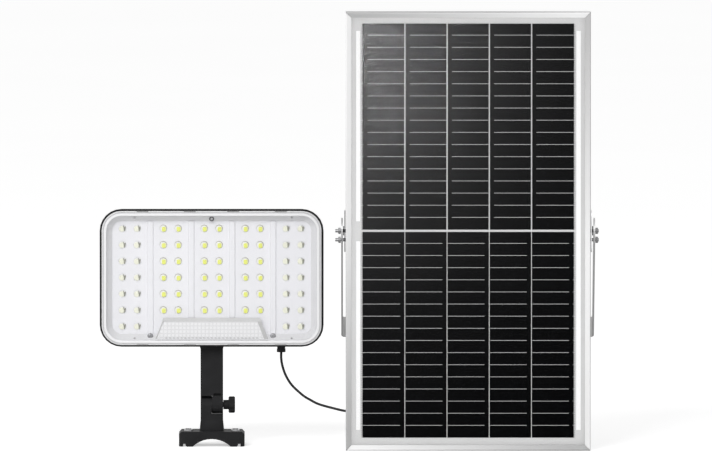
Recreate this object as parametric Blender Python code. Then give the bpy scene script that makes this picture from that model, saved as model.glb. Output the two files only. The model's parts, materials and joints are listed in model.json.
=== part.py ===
"""Solar flood light: an LED lamp head on a tilting arm and foot, joined by a cord to a framed solar
panel that tilts in a U bracket. Sizes are in metres, +Z is up and the front faces -Y."""

import math

import bmesh
import bpy
import numpy as np
from mathutils import Vector

# Fits
GAP = 0.0003
BOLT_CLEARANCE = 0.0004
SMOOTH_ANGLE = math.radians(35)

# Solar cells: fifths of a wafer, five side by side in two rows
CELL_COLUMNS = 5
CELL_WIDTH = 0.0362
CELL_HEIGHT = 0.1825
CELL_GAP = 0.0013
CELL_MID_GAP = 0.0028
CELL_THICKNESS = 0.0003
SIDE_MARGIN = 0.0157
END_MARGIN = 0.01135
RIBBON_WIDTH = 0.0036
RIBBON_OFFSET = 0.0047
RIBBON_SHORTFALL = 0.0075

# Panel frame and laminate
FRAME_DEPTH = 0.017
FRAME_WALL = 0.0014
FRAME_EDGE = 0.0006
LIP_CREST = 0.0012
LIP_WIDTH = 0.005
LIP_DROP = 0.0018
LIP_THICKNESS = 0.001
SHELF_WIDTH = 0.006
FLANGE_WIDTH = 0.012
GLASS_THICKNESS = 0.002
BACKSHEET_THICKNESS = 0.0005
KEY_LEG = 0.026
KEY_WALL = 0.003

# Junction box on the panel's back
BOX_WIDTH = 0.056
BOX_HEIGHT = 0.044
BOX_DEPTH = 0.012
BOX_WALL = 0.002
BOX_CORNER = 0.004
LID_THICKNESS = 0.002
BOX_EXIT_INSET = 0.013
BOX_GLAND_RADIUS = 0.005
BOX_GLAND_LENGTH = 0.012
BOX_GLAND_TIP = 0.0023

# Panel pivots and the U bracket
EAR_HEIGHT = 0.037
EAR_DEPTH = 0.0145
EAR_THICKNESS = 0.0008
WASHER_RADIUS = 0.0042
WASHER_THICKNESS = 0.0008
BOLT_RADIUS = 0.0015
BOLT_HEAD_RADIUS = 0.0028
BOLT_HEAD_HEIGHT = 0.002
BOLT_TIP = 0.0006
LONG_BOLT_TIP = 0.0026
NUT_FLATS = 0.0055
NUT_HEIGHT = 0.0024
NUT_EDGE = 0.0004
LOCK_RADIUS = 0.008
TILT_RANGE = math.radians(60)
BRACKET_WIDTH = 0.0232
BRACKET_THICKNESS = 0.0015
BRACKET_REACH = 0.1265
BRACKET_BEND = 0.0012
BRACKET_SWING = math.radians(43)
BRACKET_SLOT_WIDTH = 0.007
BRACKET_SLOT_LENGTH = 0.014
BRACKET_SLOT_SPREAD = 0.06

# LED pattern, which sets the size of the lamp head
LED_GROUPS = 5
LED_ROWS = 7
LED_ROWS_OVER_WINDOW = 6
LED_GROUP_PITCH = 0.03644
LED_PAIR_PITCH = 0.0132
LED_ROW_PITCH = 0.01456
LED_SIDE_MARGIN = 0.0202
LED_END_MARGIN = 0.01785
LED_RADIUS = 0.0031
LED_HEIGHT = 0.0038
LED_TIP_RADIUS = 0.0016
LED_TIP_HEIGHT = 0.0015
LED_CLEARANCE = 0.0005

# Lamp head shells
HEAD_CORNER = 0.0195
HEAD_DEPTH = 0.033
HEAD_WALL = 0.002
RIM_WALL = 0.0014
RIM_DRAFT = 0.0006
RIM_EDGE = 0.0006
SHOULDER_DEPTH = 0.024
SHOULDER_INSET = 0.005
BACK_INSET = 0.013
COVER_WALL = 0.002
COVER_PROUD = 0.004
COVER_SKIRT = 0.006
COVER_EDGE = 0.0032
SEAL_THICKNESS = 0.0015
SEAL_WIDTH = 0.0031
LEDGE_WIDTH = 0.0041
FIN_COUNT = 9
FIN_PITCH = 0.0155
FIN_WIDTH = 0.002
FIN_HEIGHT = 0.003
FIN_LOW = -0.026
FIN_HIGH = 0.04

# Reflector, board and what they carry
REFLECTOR_RIM = 0.0059
REFLECTOR_SLOPE = 0.0053
REFLECTOR_FRONT = 0.0006
REFLECTOR_DEPTH = 0.0049
REFLECTOR_SHEET = 0.0012
RIB_WIDTH = 0.006
RIB_HEIGHT = 0.0016
BOARD_THICKNESS = 0.0016
BOARD_INSET = 0.006
WINDOW_TOP = -0.0363
WINDOW_BOTTOM = -0.0556
WINDOW_TOP_HALF = 0.0426
WINDOW_BOTTOM_HALF = 0.05
WINDOW_FRONT = 0.0015
WINDOW_CHAMFER = 0.0012
STATUS_RADIUS = 0.0018
STATUS_INSET = 0.009
SCREW_INSET = 0.0094
SCREW_RADIUS = 0.0012
SCREW_HEAD_RADIUS = 0.0025
SCREW_HEAD_HEIGHT = 0.0014
SCREW_CROWN_RADIUS = 0.0018
SCREW_LENGTH = 0.011
BOSS_RADIUS = 0.0032

# Battery, control board and button
PACK_LENGTH = 0.066
PACK_HEIGHT = 0.0374
PACK_DEPTH = 0.0184
PACK_X = -0.038
PACK_Z = 0.008
CONTROL_WIDTH = 0.056
CONTROL_HEIGHT = 0.04
CONTROL_X = 0.048
CONTROL_Z = 0.008
CONTROL_DEPTH = 0.02
POST_RADIUS = 0.0022
BUTTON_RADIUS = 0.0058
BUTTON_FLANGE = 0.0075
BUTTON_PROUD = 0.0025
BUTTON_EDGE = 0.001
BUTTON_X = -0.055
BUTTON_Z = -0.038

# Lamp gland
GLAND_X = 0.06185
GLAND_RADIUS = 0.0036
GLAND_DROP = 0.006
GLAND_STUB = 0.0027

# Arm, knuckle and foot
HEAD_OVERHANG = 0.018
ARM_RISE = 0.053
ARM_WIDTH = 0.02
ARM_DEPTH = 0.0154
KNUCKLE_CLEARANCE = 0.0005
KNUCKLE_HEIGHT = 0.0363
SADDLE_HALF = 0.017
SADDLE_DEPTH = 0.017
SADDLE_THICKNESS = 0.0026
SADDLE_CORNER = 0.002
SADDLE_FLARE = 0.0022
PAD_RISE = 0.0026
PAD_HEIGHT = 0.0118
ARM_GROOVE_X = 0.0049
ARM_GROOVE_RISE = 0.0095
ARM_GROOVE_WIDTH = 0.0067
ARM_GROOVE_HEIGHT = 0.0022
ARM_GROOVE_DEPTH = 0.0026
ARM_SCREW_X = 0.0135
ARM_SCREW_LENGTH = 0.0095
FOOT_HALF = 0.0292
FOOT_DEPTH = 0.036
FOOT_HEIGHT = 0.0133
FOOT_CORNER = 0.006
FOOT_EDGE = 0.0022
HOOK_WIDTH = 0.0036
HOOK_NOTCH = 0.0022
NOTCH_HEIGHT = 0.0025
FOOT_PAD_EDGE = 0.0012
ARCH_HALF = 0.017
ARCH_RISE = 0.0068
FOOT_SLOT_X = 0.0209
FOOT_SLOT_WIDTH = 0.0052
FOOT_SLOT_LENGTH = 0.016
POST_FLARE = 0.0008
POST_FLARE_TOP = 0.026
CLAMP_RADIUS = 0.0025
CLAMP_COLLAR_RADIUS = 0.00425
CLAMP_COLLAR_LENGTH = 0.0046
KNOB_RADIUS = 0.0074
KNOB_WIDTH = 0.0058
KNOB_FLUTE = 0.0008
KNOB_FLUTES = 8
CLAMP_NUT_FLATS = 0.008
CLAMP_NUT_HEIGHT = 0.004

# Where lamp and panel stand
LAMP_GAP = 0.0197
KNUCKLE_BACK = 0.064

# Cord, with its unseen length wound into a coil behind the panel
CORD_DIAMETER = 0.0022
CORD_STEP = 0.0055
COIL_LAYERS = 4
COIL_LAYER_TURNS = 4
COIL_MEAN_RADIUS = 0.0154
COIL_PITCH = 0.003
COIL_LAYER_PITCH = 0.00275
COIL_POINTS_PER_TURN = 24
COIL_REVERSAL = 0.25
COIL_X = 0.137
COIL_Y = -0.018
TIE_THICKNESS = 0.0008
TIE_WIDTH = 0.004

# Route of the lead from the mouth of the lamp gland, down and behind the panel to the coil
LEAD_ROUTE = (
    (0.0, 0.0, 0.0),
    (0.0, 0.0, -0.0050),
    (0.0009, 0.0, -0.0113),
    (0.0039, -0.0005, -0.0202),
    (0.0094, -0.0015, -0.0290),
    (0.0189, -0.0035, -0.0378),
    (0.0259, -0.0050, -0.0421),
    (0.0347, -0.0070, -0.0462),
    (0.0524, -0.0110, -0.0506),
    (0.0573, -0.0122, -0.0515),
    (0.0750, -0.0175, -0.0552),
    (0.0950, -0.0248, -0.0605),
    (0.1120, -0.0325, -0.0663),
    (0.1240, -0.0370, -0.0706),
)

# Route of the riser from the mouth of the junction box gland down to the floor
RISER_ROUTE = (
    (0.0, 0.0, 0.0),
    (0.0, 0.0, -0.0080),
    (0.0008, 0.0020, -0.0300),
    (0.0016, 0.0055, -0.0600),
    (0.0018, 0.0090, -0.0900),
    (0.0005, 0.0110, -0.1160),
    (-0.0040, 0.0118, -0.1350),
    (-0.0130, 0.0120, -0.1480),
    (-0.0250, 0.0120, -0.1555),
)

# Sizes worked out from those above
PANEL_WIDTH = CELL_COLUMNS * CELL_WIDTH + (CELL_COLUMNS - 1) * CELL_GAP + 2 * SIDE_MARGIN
PANEL_HEIGHT = 2 * CELL_HEIGHT + CELL_MID_GAP + 2 * END_MARGIN
GLASS_FRONT = LIP_DROP + LIP_THICKNESS + GAP
CELL_FRONT = GLASS_FRONT + GLASS_THICKNESS + GAP
BACKSHEET_FRONT = CELL_FRONT + CELL_THICKNESS + GAP
SHELF_FRONT = BACKSHEET_FRONT + BACKSHEET_THICKNESS + GAP
CHANNEL_FRONT = SHELF_FRONT + FRAME_WALL
CHANNEL_BACK = FRAME_DEPTH - FRAME_WALL
PIVOT_DEPTH = (CHANNEL_FRONT + CHANNEL_BACK) / 2
SHEET_WIDTH = PANEL_WIDTH - 2 * (FRAME_WALL + GAP)
SHEET_HEIGHT = PANEL_HEIGHT - 2 * (FRAME_WALL + GAP)
BOX_FRONT = BACKSHEET_FRONT + BACKSHEET_THICKNESS + GAP
BOX_EXIT = BOX_WIDTH / 2 - BOX_EXIT_INSET
EAR_FACE = PANEL_WIDTH / 2 + GAP
WASHER_FACE = EAR_FACE + EAR_THICKNESS + GAP
BRACKET_FACE = WASHER_FACE + WASHER_THICKNESS + GAP
NUT_FACE = BRACKET_FACE + BRACKET_THICKNESS + GAP
NUT_END = NUT_FACE + NUT_HEIGHT
PANEL_REACH = NUT_END + BOLT_TIP
BOLT_BORE = BOLT_RADIUS + BOLT_CLEARANCE

HEAD_WIDTH = (LED_GROUPS - 1) * LED_GROUP_PITCH + LED_PAIR_PITCH + 2 * LED_SIDE_MARGIN
HEAD_HEIGHT = (LED_ROWS - 1) * LED_ROW_PITCH + 2 * LED_END_MARGIN
LEDGE_DEPTH = COVER_SKIRT + GAP + SEAL_THICKNESS + GAP
LEDGE_INSET = RIM_WALL + LEDGE_WIDTH
COVER_INSET = RIM_WALL + GAP
REFLECTOR_EDGE = COVER_INSET + COVER_WALL + GAP
PLATE_FRONT = REFLECTOR_FRONT + REFLECTOR_DEPTH
BOARD_FRONT = PLATE_FRONT + REFLECTOR_SHEET + GAP
BOARD_BACK = BOARD_FRONT + BOARD_THICKNESS
SCREW_Z = SCREW_INSET - HEAD_HEIGHT / 2
SCREW_X = LED_GROUP_PITCH * (LED_GROUPS - 2) / 2
STATUS_Z = HEAD_HEIGHT / 2 - STATUS_INSET
BACK_FACE = HEAD_DEPTH - HEAD_WALL

KNUCKLE_RADIUS = ARM_DEPTH / 2
SHOULDER = KNUCKLE_RADIUS + KNUCKLE_CLEARANCE
ARM_HALF = ARM_WIDTH / 2
LAP_FACE = GAP / 2
SADDLE_TOP = ARM_RISE + PAD_RISE - GAP
PAD_EDGE = FOOT_HALF - HOOK_WIDTH - HOOK_NOTCH
ARCH_RADIUS = (ARCH_HALF**2 + ARCH_RISE**2) / (2 * ARCH_RISE)
NUT_POCKET = CLAMP_NUT_HEIGHT + GAP

BRACKET_BACK = (
    PIVOT_DEPTH + BRACKET_REACH * math.sin(BRACKET_SWING) + BRACKET_WIDTH / 2 * math.cos(BRACKET_SWING)
)
LAMP_BACK = KNUCKLE_BACK + max(FOOT_DEPTH / 2, HEAD_DEPTH + FIN_HEIGHT - HEAD_OVERHANG)
OVERALL_DEPTH = max(BRACKET_BACK, LAMP_BACK)
LAMP_TO_PANEL = HEAD_WIDTH / 2 + LAMP_GAP + PANEL_WIDTH / 2
OVERALL_WIDTH = HEAD_WIDTH / 2 + LAMP_TO_PANEL + PANEL_REACH
LAMP_X = (HEAD_WIDTH - OVERALL_WIDTH) / 2
PANEL_X = LAMP_X + LAMP_TO_PANEL
PANEL_Y = -OVERALL_DEPTH / 2
LAMP_Y = PANEL_Y + KNUCKLE_BACK

COIL_TRAVEL = (COIL_LAYER_TURNS - COIL_REVERSAL) * COIL_PITCH
COIL_OUTER = COIL_MEAN_RADIUS + COIL_TRAVEL / 2
COIL_BASE = TIE_THICKNESS + GAP + CORD_DIAMETER / 2


# Outlines: lists of points in a plane
def rectangle(width, height):
    """A rectangle about the middle."""
    x = width / 2
    y = height / 2
    return [(x, -y), (x, y), (-x, y), (-x, -y)]


def arc(centre, radius, start, end, steps):
    """Points along an arc, both ends included, with angles in degrees."""
    points = []
    for step in range(steps + 1):
        angle = math.radians(start + (end - start) * step / steps)
        points.append((centre[0] + radius * math.cos(angle), centre[1] + radius * math.sin(angle)))
    return points


def round_rectangle(width, height, radius, steps=6):
    """A rectangle with round corners about the middle."""
    points = []
    for corner, (side, end) in enumerate(((1, -1), (1, 1), (-1, 1), (-1, -1))):
        centre = (side * (width / 2 - radius), end * (height / 2 - radius))
        points += arc(centre, radius, 90 * corner - 90, 90 * corner, steps)
    return points


def circle(radius, sides=12):
    """A regular outline with a corner on the first axis."""
    return arc((0, 0), radius, 0, 360 - 360 / sides, sides - 1)


def hexagon(flats):
    """A hexagon in twelve points, with flats facing along the second axis."""
    points = []
    for step in range(12):
        angle = math.radians(30 * step)
        reach = flats / 2 if step % 2 else flats / 2 / math.cos(math.pi / 6)
        points.append((reach * math.cos(angle), reach * math.sin(angle)))
    return points


def fluted(radius, flute, count):
    """A knob's outline: round crests with a shallow flute between each two."""
    points = []
    for step in range(3 * count):
        angle = 2 * math.pi * step / (3 * count)
        reach = radius - flute * (step % 3 == 2)
        points.append((reach * math.cos(angle), reach * math.sin(angle)))
    return points


def stadium(half, low, high, steps=8):
    """A strip of the given half width from low up to a round end whose centre is at high."""
    return [(-half, low), (half, low)] + arc((0, high), half, 0, 180, steps)


# Solids: rings of points that a skin runs over
def place(outline, axis, level, centre=(0.0, 0.0)):
    """The outline as a ring of points in space, at a level along the axis x, y or z."""
    ring = []
    for u, v in outline:
        a = u + centre[0]
        b = v + centre[1]
        ring.append({"x": (level, a, b), "y": (a, level, b), "z": (a, b, level)}[axis])
    return ring


def stack(axis, layers, centre=(0.0, 0.0), closed=False):
    """A solid whose skin runs over outlines at rising levels, closed on itself or capped."""
    return [place(outline, axis, level, centre) for level, outline in layers], closed


def prism(outline, axis, low, high, centre=(0.0, 0.0)):
    """An outline drawn out between two levels."""
    return stack(axis, [(low, outline), (high, outline)], centre)


def collar(outer, inner, axis, low, high, centre=(0.0, 0.0)):
    """A ring between an outer and an inner outline of as many points."""
    layers = [(low, outer), (high, outer), (high, inner), (low, inner)]
    return stack(axis, layers, centre, closed=True)


def fill_mesh(name, shapes):
    """A mesh of the given solids with all faces pointing out."""
    bm = bmesh.new()
    for rings, closed in shapes:
        loops = [[bm.verts.new(point) for point in ring] for ring in rings]
        pairs = list(zip(loops, loops[1:]))
        if closed:
            pairs.append((loops[-1], loops[0]))
        else:
            bm.faces.new(loops[0])
            bm.faces.new(loops[-1])
        for first, second in pairs:
            for here in range(len(first)):
                there = (here + 1) % len(first)
                bm.faces.new((first[here], first[there], second[there], second[here]))
    bmesh.ops.recalc_face_normals(bm, faces=bm.faces)
    mesh = bpy.data.meshes.new(name)
    bm.to_mesh(mesh)
    bm.free()
    mesh.shade_smooth()
    mesh.set_sharp_from_angle(angle=SMOOTH_ANGLE)
    return mesh


# Objects
def put(obj, parent, location, rotation):
    """Link an object into the scene under its parent."""
    bpy.context.scene.collection.objects.link(obj)
    obj.parent = parent
    obj.location = location
    obj.rotation_euler = rotation
    return obj


def anchor(name, parent=None, location=(0, 0, 0), rotation=(0, 0, 0)):
    """An empty that carries pieces, on a joint's axis where they move."""
    return put(bpy.data.objects.new(name, None), parent, location, rotation)


def piece(name, shapes, finish, parent, location=(0, 0, 0), rotation=(0, 0, 0)):
    """A named piece made of one solid or of solids that overlap nothing."""
    mesh = fill_mesh(name, shapes)
    mesh.materials.append(finish)
    return put(bpy.data.objects.new(name, mesh), parent, location, rotation)


def work(target, operation, label, shapes):
    """Cut, join or trim a piece with hidden tool shapes given in the piece's own frame."""
    name = f"{target.name}_{label}"
    tool = put(
        bpy.data.objects.new(name, fill_mesh(name, shapes)),
        target.parent,
        target.location,
        target.rotation_euler,
    )
    tool.hide_render = True
    tool.display_type = "WIRE"
    modifier = target.modifiers.new(label, "BOOLEAN")
    modifier.operation = operation
    modifier.solver = "EXACT"
    modifier.object = tool


def principled(name, colour, roughness, metallic=0.0, transmission=0.0):
    """A plain material for one kind of surface."""
    finish = bpy.data.materials.new(name)
    finish.use_nodes = True
    finish.diffuse_color = (*colour, 1.0)
    shader = finish.node_tree.nodes["Principled BSDF"]
    shader.inputs["Base Color"].default_value = (*colour, 1.0)
    shader.inputs["Roughness"].default_value = roughness
    shader.inputs["Metallic"].default_value = metallic
    shader.inputs["Transmission Weight"].default_value = transmission
    return finish


# Lamp head
def head_outline(inset):
    """The head's round cornered outline, drawn in by an inset."""
    return round_rectangle(HEAD_WIDTH - 2 * inset, HEAD_HEIGHT - 2 * inset, HEAD_CORNER - inset)


def head_shell(stations):
    """A skin over head outlines, each given by its inset and its depth behind the rim."""
    return stack("y", [(depth, head_outline(inset)) for inset, depth in stations])


def led_places():
    """Where each LED sits: the outer groups have one row more than those over the window."""
    places = []
    for group in range(LED_GROUPS):
        outer = group in (0, LED_GROUPS - 1)
        for side in (-1, 1):
            x = (group - (LED_GROUPS - 1) / 2) * LED_GROUP_PITCH + side * LED_PAIR_PITCH / 2
            for row in range(LED_ROWS if outer else LED_ROWS_OVER_WINDOW):
                places.append((x, ((LED_ROWS - 1) / 2 - row) * LED_ROW_PITCH))
    return places


def rib_places():
    """The ribs between the LED groups: across position and lower end."""
    places = []
    for rib in range(LED_GROUPS - 1):
        outer = rib in (0, LED_GROUPS - 2)
        x = (rib - (LED_GROUPS - 2) / 2) * LED_GROUP_PITCH
        places.append((x, SCREW_Z if outer else WINDOW_TOP + 2 * GAP))
    return places


def window_outline(grow):
    """The sensor window's trapezoid, grown on every side."""
    top = WINDOW_TOP_HALF + grow
    bottom = WINDOW_BOTTOM_HALF + grow
    return [
        (-bottom, WINDOW_BOTTOM - grow),
        (bottom, WINDOW_BOTTOM - grow),
        (top, WINDOW_TOP + grow),
        (-top, WINDOW_TOP + grow),
    ]


def make_housing(finish, head):
    """Black rear shell with a ledge for the seal, fins, bosses and a pad for the arm."""
    shell = head_shell(
        [
            (BACK_INSET + HEAD_WALL / 2, BACK_FACE),
            (SHOULDER_INSET + HEAD_WALL, SHOULDER_DEPTH - HEAD_WALL / 4),
            (LEDGE_INSET, LEDGE_DEPTH),
            (RIM_WALL, LEDGE_DEPTH),
            (RIM_WALL, 0),
            (RIM_EDGE / 2, 0),
            (0, RIM_EDGE),
            (RIM_DRAFT, LEDGE_DEPTH + RIM_WALL),
            (SHOULDER_INSET, SHOULDER_DEPTH),
            ((SHOULDER_INSET + BACK_INSET) / 2 - RIM_DRAFT, HEAD_DEPTH - HEAD_WALL),
            (BACK_INSET, HEAD_DEPTH),
        ]
    )
    housing = piece("rear_housing", [shell], finish, head)

    added = []
    for fin in range(FIN_COUNT):
        x = (fin - (FIN_COUNT - 1) / 2) * FIN_PITCH
        blade = rectangle(FIN_WIDTH, FIN_HIGH - FIN_LOW)
        tip = rectangle(FIN_WIDTH / 2, FIN_HIGH - FIN_LOW - 2 * FIN_HEIGHT)
        layers = [(HEAD_DEPTH - HEAD_WALL / 4, blade), (HEAD_DEPTH + FIN_HEIGHT, tip)]
        added.append(stack("y", layers, (x, (FIN_HIGH + FIN_LOW) / 2)))
    for side in (-1, 1):
        boss = prism(circle(BOSS_RADIUS), "y", BOARD_BACK + GAP, SHOULDER_DEPTH, (side * SCREW_X, SCREW_Z))
        added.append(boss)
        for end in (-1, 1):
            x = CONTROL_X + side * (CONTROL_WIDTH / 2 - 2 * POST_RADIUS)
            z = CONTROL_Z + end * (CONTROL_HEIGHT / 2 - 2 * POST_RADIUS)
            low = CONTROL_DEPTH + BOARD_THICKNESS + GAP
            added.append(prism(circle(POST_RADIUS, 8), "y", low, HEAD_DEPTH - HEAD_WALL / 2, (x, z)))
    pad_low = PAD_RISE - HEAD_HEIGHT / 2
    pad = prism(
        round_rectangle(2 * (SADDLE_HALF + HEAD_WALL), SADDLE_DEPTH + 3 * GAP, HEAD_WALL, 2),
        "z",
        pad_low,
        PAD_HEIGHT - HEAD_HEIGHT / 2,
        (0, HEAD_OVERHANG),
    )
    added.append(pad)
    work(housing, "UNION", "mouldings", added)

    button = circle(BUTTON_RADIUS + GAP, 16)
    holes = [prism(button, "y", BACK_FACE - GAP, HEAD_DEPTH + GAP, (BUTTON_X, BUTTON_Z))]
    holes.append(
        prism(
            circle(GLAND_STUB + GAP),
            "z",
            -HEAD_HEIGHT / 2 - GAP,
            LEDGE_INSET + HEAD_WALL - HEAD_HEIGHT / 2,
            (GLAND_X, HEAD_OVERHANG),
        )
    )
    for side in (-1, 1):
        bore = SCREW_RADIUS + GAP
        deep = BOARD_FRONT + SCREW_LENGTH + GAP
        holes.append(prism(circle(bore, 8), "y", BOARD_BACK, deep, (side * SCREW_X, SCREW_Z)))
        top = PAD_RISE - HEAD_HEIGHT / 2 - GAP + ARM_SCREW_LENGTH - SADDLE_THICKNESS + 2 * GAP
        holes.append(
            prism(circle(bore, 8), "z", pad_low - GAP, top, (side * ARM_SCREW_X, HEAD_OVERHANG))
        )
    work(housing, "DIFFERENCE", "holes", holes)
    seat = round_rectangle(2 * (SADDLE_HALF + GAP), SADDLE_DEPTH + 2 * GAP, SADDLE_CORNER + GAP, 2)
    pocket = prism(seat, "z", -HEAD_HEIGHT / 2 - PAD_RISE, pad_low, (0, HEAD_OVERHANG))
    work(housing, "DIFFERENCE", "saddle_seat", [pocket])


def make_cover(clear, silicone, head):
    """Clear cover with a round edge, and the seal that its skirt presses on the ledge."""
    inner = COVER_INSET + COVER_WALL
    inside = [
        (inner + COVER_EDGE - COVER_WALL / 2, COVER_WALL - COVER_PROUD),
        (inner + COVER_EDGE / 4, COVER_WALL + COVER_EDGE / 4 - COVER_PROUD),
        (inner, COVER_WALL + COVER_EDGE - COVER_WALL / 2 - COVER_PROUD),
        (inner, COVER_SKIRT),
    ]
    outside = [(COVER_INSET, COVER_SKIRT)]
    for step in range(5):
        angle = math.radians(90 * step / 4)
        inset = COVER_INSET + COVER_EDGE * (1 - math.cos(angle))
        outside.append((inset, COVER_EDGE * (1 - math.sin(angle)) - COVER_PROUD))
    piece("front_cover", [head_shell(inside + outside)], clear, head)

    seal = collar(
        head_outline(COVER_INSET + GAP),
        head_outline(COVER_INSET + SEAL_WIDTH),
        "y",
        COVER_SKIRT + GAP,
        COVER_SKIRT + GAP + SEAL_THICKNESS,
    )
    piece("cover_seal", [seal], silicone, head)


def make_reflector(white, head):
    """White tray with a flange, sloped walls, ribs between the LED groups and openings."""
    flat = REFLECTOR_RIM + REFLECTOR_SLOPE
    tray = head_shell(
        [
            (flat, PLATE_FRONT + REFLECTOR_SHEET),
            (REFLECTOR_RIM, REFLECTOR_FRONT + REFLECTOR_SHEET),
            (REFLECTOR_EDGE, REFLECTOR_FRONT + REFLECTOR_SHEET),
            (REFLECTOR_EDGE, REFLECTOR_FRONT),
            (REFLECTOR_RIM, REFLECTOR_FRONT),
            (flat, PLATE_FRONT),
        ]
    )
    reflector = piece("reflector_plate", [tray], white, head)

    crest = PLATE_FRONT - RIB_HEIGHT
    root = PLATE_FRONT + REFLECTOR_SHEET / 3
    ribs = []
    for x, low in rib_places():
        high = HEAD_HEIGHT / 2 - flat - GAP
        base = rectangle(RIB_WIDTH, high - low)
        top = rectangle(RIB_WIDTH - RIB_HEIGHT, high - low)
        ribs.append(stack("y", [(root, base), (crest, top)], (x, (high + low) / 2)))
    work(reflector, "UNION", "ribs", ribs)
    seats = []
    for side in (-1, 1):
        seats.append(prism(circle(BOSS_RADIUS), "y", crest - 2 * GAP, root, (side * SCREW_X, SCREW_Z)))
    work(reflector, "UNION", "seats", seats)

    front = REFLECTOR_FRONT - GAP
    back = BOARD_FRONT - GAP / 2
    holes = [prism(window_outline(GAP), "y", front, back)]
    holes.append(prism(circle(STATUS_RADIUS + GAP, 8), "y", front, back, (0, STATUS_Z)))
    for side in (-1, 1):
        layers = [
            (front, circle(SCREW_HEAD_RADIUS + GAP)),
            (crest - GAP, circle(SCREW_HEAD_RADIUS + GAP)),
            (crest - GAP, circle(SCREW_RADIUS + GAP)),
            (back, circle(SCREW_RADIUS + GAP)),
        ]
        holes.append(stack("y", layers, (side * SCREW_X, SCREW_Z)))
    for centre in led_places():
        holes.append(prism(circle(LED_RADIUS + LED_CLEARANCE, 8), "y", front, back, centre))
    work(reflector, "DIFFERENCE", "openings", holes)


def make_board(finish, head):
    """LED board with its domed LEDs."""
    outline = head_outline(BOARD_INSET)
    board = piece("led_board", [prism(outline, "y", BOARD_FRONT, BOARD_BACK)], finish, head)
    domes = []
    for centre in led_places():
        layers = [
            (BOARD_FRONT + BOARD_THICKNESS / 3, circle(LED_RADIUS, 8)),
            (BOARD_FRONT - LED_HEIGHT + LED_TIP_HEIGHT, circle(LED_RADIUS, 8)),
            (BOARD_FRONT - LED_HEIGHT, circle(LED_TIP_RADIUS, 8)),
        ]
        domes.append(stack("y", layers, centre))
    work(board, "UNION", "leds", domes)
    holes = []
    for side in (-1, 1):
        low = BOARD_FRONT - GAP
        high = BOARD_BACK + GAP
        holes.append(prism(circle(SCREW_RADIUS + GAP, 8), "y", low, high, (side * SCREW_X, SCREW_Z)))
    work(board, "DIFFERENCE", "screw_holes", holes)


def make_head_fittings(finishes, head):
    """Window, status light, screws, battery, control board, button and gland."""
    seat = BOARD_FRONT - GAP
    layers = [
        (seat, window_outline(0)),
        (WINDOW_FRONT + WINDOW_CHAMFER, window_outline(0)),
        (WINDOW_FRONT, window_outline(-WINDOW_CHAMFER)),
    ]
    piece("sensor_window", [stack("y", layers)], finishes["clear"], head)

    lens = [
        (seat, circle(STATUS_RADIUS)),
        (WINDOW_FRONT + STATUS_RADIUS / 2, circle(STATUS_RADIUS)),
        (WINDOW_FRONT, circle(STATUS_RADIUS / 2)),
    ]
    piece("status_light", [stack("y", lens, (0, STATUS_Z))], finishes["clear"], head)

    under_head = PLATE_FRONT - RIB_HEIGHT - 2 * GAP
    for name, side in (("left", -1), ("right", 1)):
        layers = [
            (under_head - SCREW_HEAD_HEIGHT, circle(SCREW_CROWN_RADIUS)),
            (under_head - SCREW_HEAD_HEIGHT / 2, circle(SCREW_HEAD_RADIUS)),
            (under_head, circle(SCREW_HEAD_RADIUS)),
            (under_head, circle(SCREW_RADIUS)),
            (BOARD_FRONT + SCREW_LENGTH, circle(SCREW_RADIUS)),
        ]
        shape = stack("y", layers, (side * SCREW_X, SCREW_Z))
        piece(f"reflector_screw_{name}", [shape], finishes["steel"], head)

    back = BACK_FACE - GAP
    pack = prism(
        [(v, u) for u, v in round_rectangle(PACK_HEIGHT, PACK_DEPTH, PACK_DEPTH / 2 - GAP, 5)],
        "x",
        PACK_X - PACK_LENGTH / 2,
        PACK_X + PACK_LENGTH / 2,
        (back - PACK_DEPTH / 2, PACK_Z),
    )
    piece("battery_pack", [pack], finishes["wrap"], head)

    control = round_rectangle(CONTROL_WIDTH, CONTROL_HEIGHT, POST_RADIUS, 2)
    board = prism(control, "y", CONTROL_DEPTH, CONTROL_DEPTH + BOARD_THICKNESS, (CONTROL_X, CONTROL_Z))
    piece("control_board", [board], finishes["board"], head)

    layers = [
        (BACK_FACE - GAP - COVER_WALL, circle(BUTTON_FLANGE, 16)),
        (BACK_FACE - GAP, circle(BUTTON_FLANGE, 16)),
        (BACK_FACE - GAP, circle(BUTTON_RADIUS, 16)),
        (HEAD_DEPTH + BUTTON_PROUD - BUTTON_EDGE, circle(BUTTON_RADIUS, 16)),
        (HEAD_DEPTH + BUTTON_PROUD, circle(BUTTON_RADIUS - BUTTON_EDGE, 16)),
    ]
    seat = anchor("button_axis", head, (BUTTON_X, 0, BUTTON_Z))
    piece("power_button", [stack("y", layers)], finishes["rubber"], seat)

    wall = RIM_DRAFT + (HEAD_OVERHANG - LEDGE_DEPTH) / (SHOULDER_DEPTH - LEDGE_DEPTH) * SHOULDER_INSET
    flange = wall - GLAND_RADIUS / 2 - HEAD_HEIGHT / 2
    layers = [
        (-HEAD_HEIGHT / 2 - GLAND_DROP, circle(GLAND_RADIUS + GAP)),
        (-HEAD_HEIGHT / 2 - GLAND_DROP / 2, circle(GLAND_RADIUS + GAP)),
        (-HEAD_HEIGHT / 2 - GLAND_DROP / 2, circle(GLAND_RADIUS)),
        (flange, circle(GLAND_RADIUS)),
        (flange, circle(GLAND_STUB)),
        (LEDGE_INSET + HEAD_WALL - HEAD_HEIGHT / 2, circle(GLAND_STUB)),
    ]
    shape = stack("z", layers, (GLAND_X, HEAD_OVERHANG))
    piece("cable_gland", [shape], finishes["rubber"], head)


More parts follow.
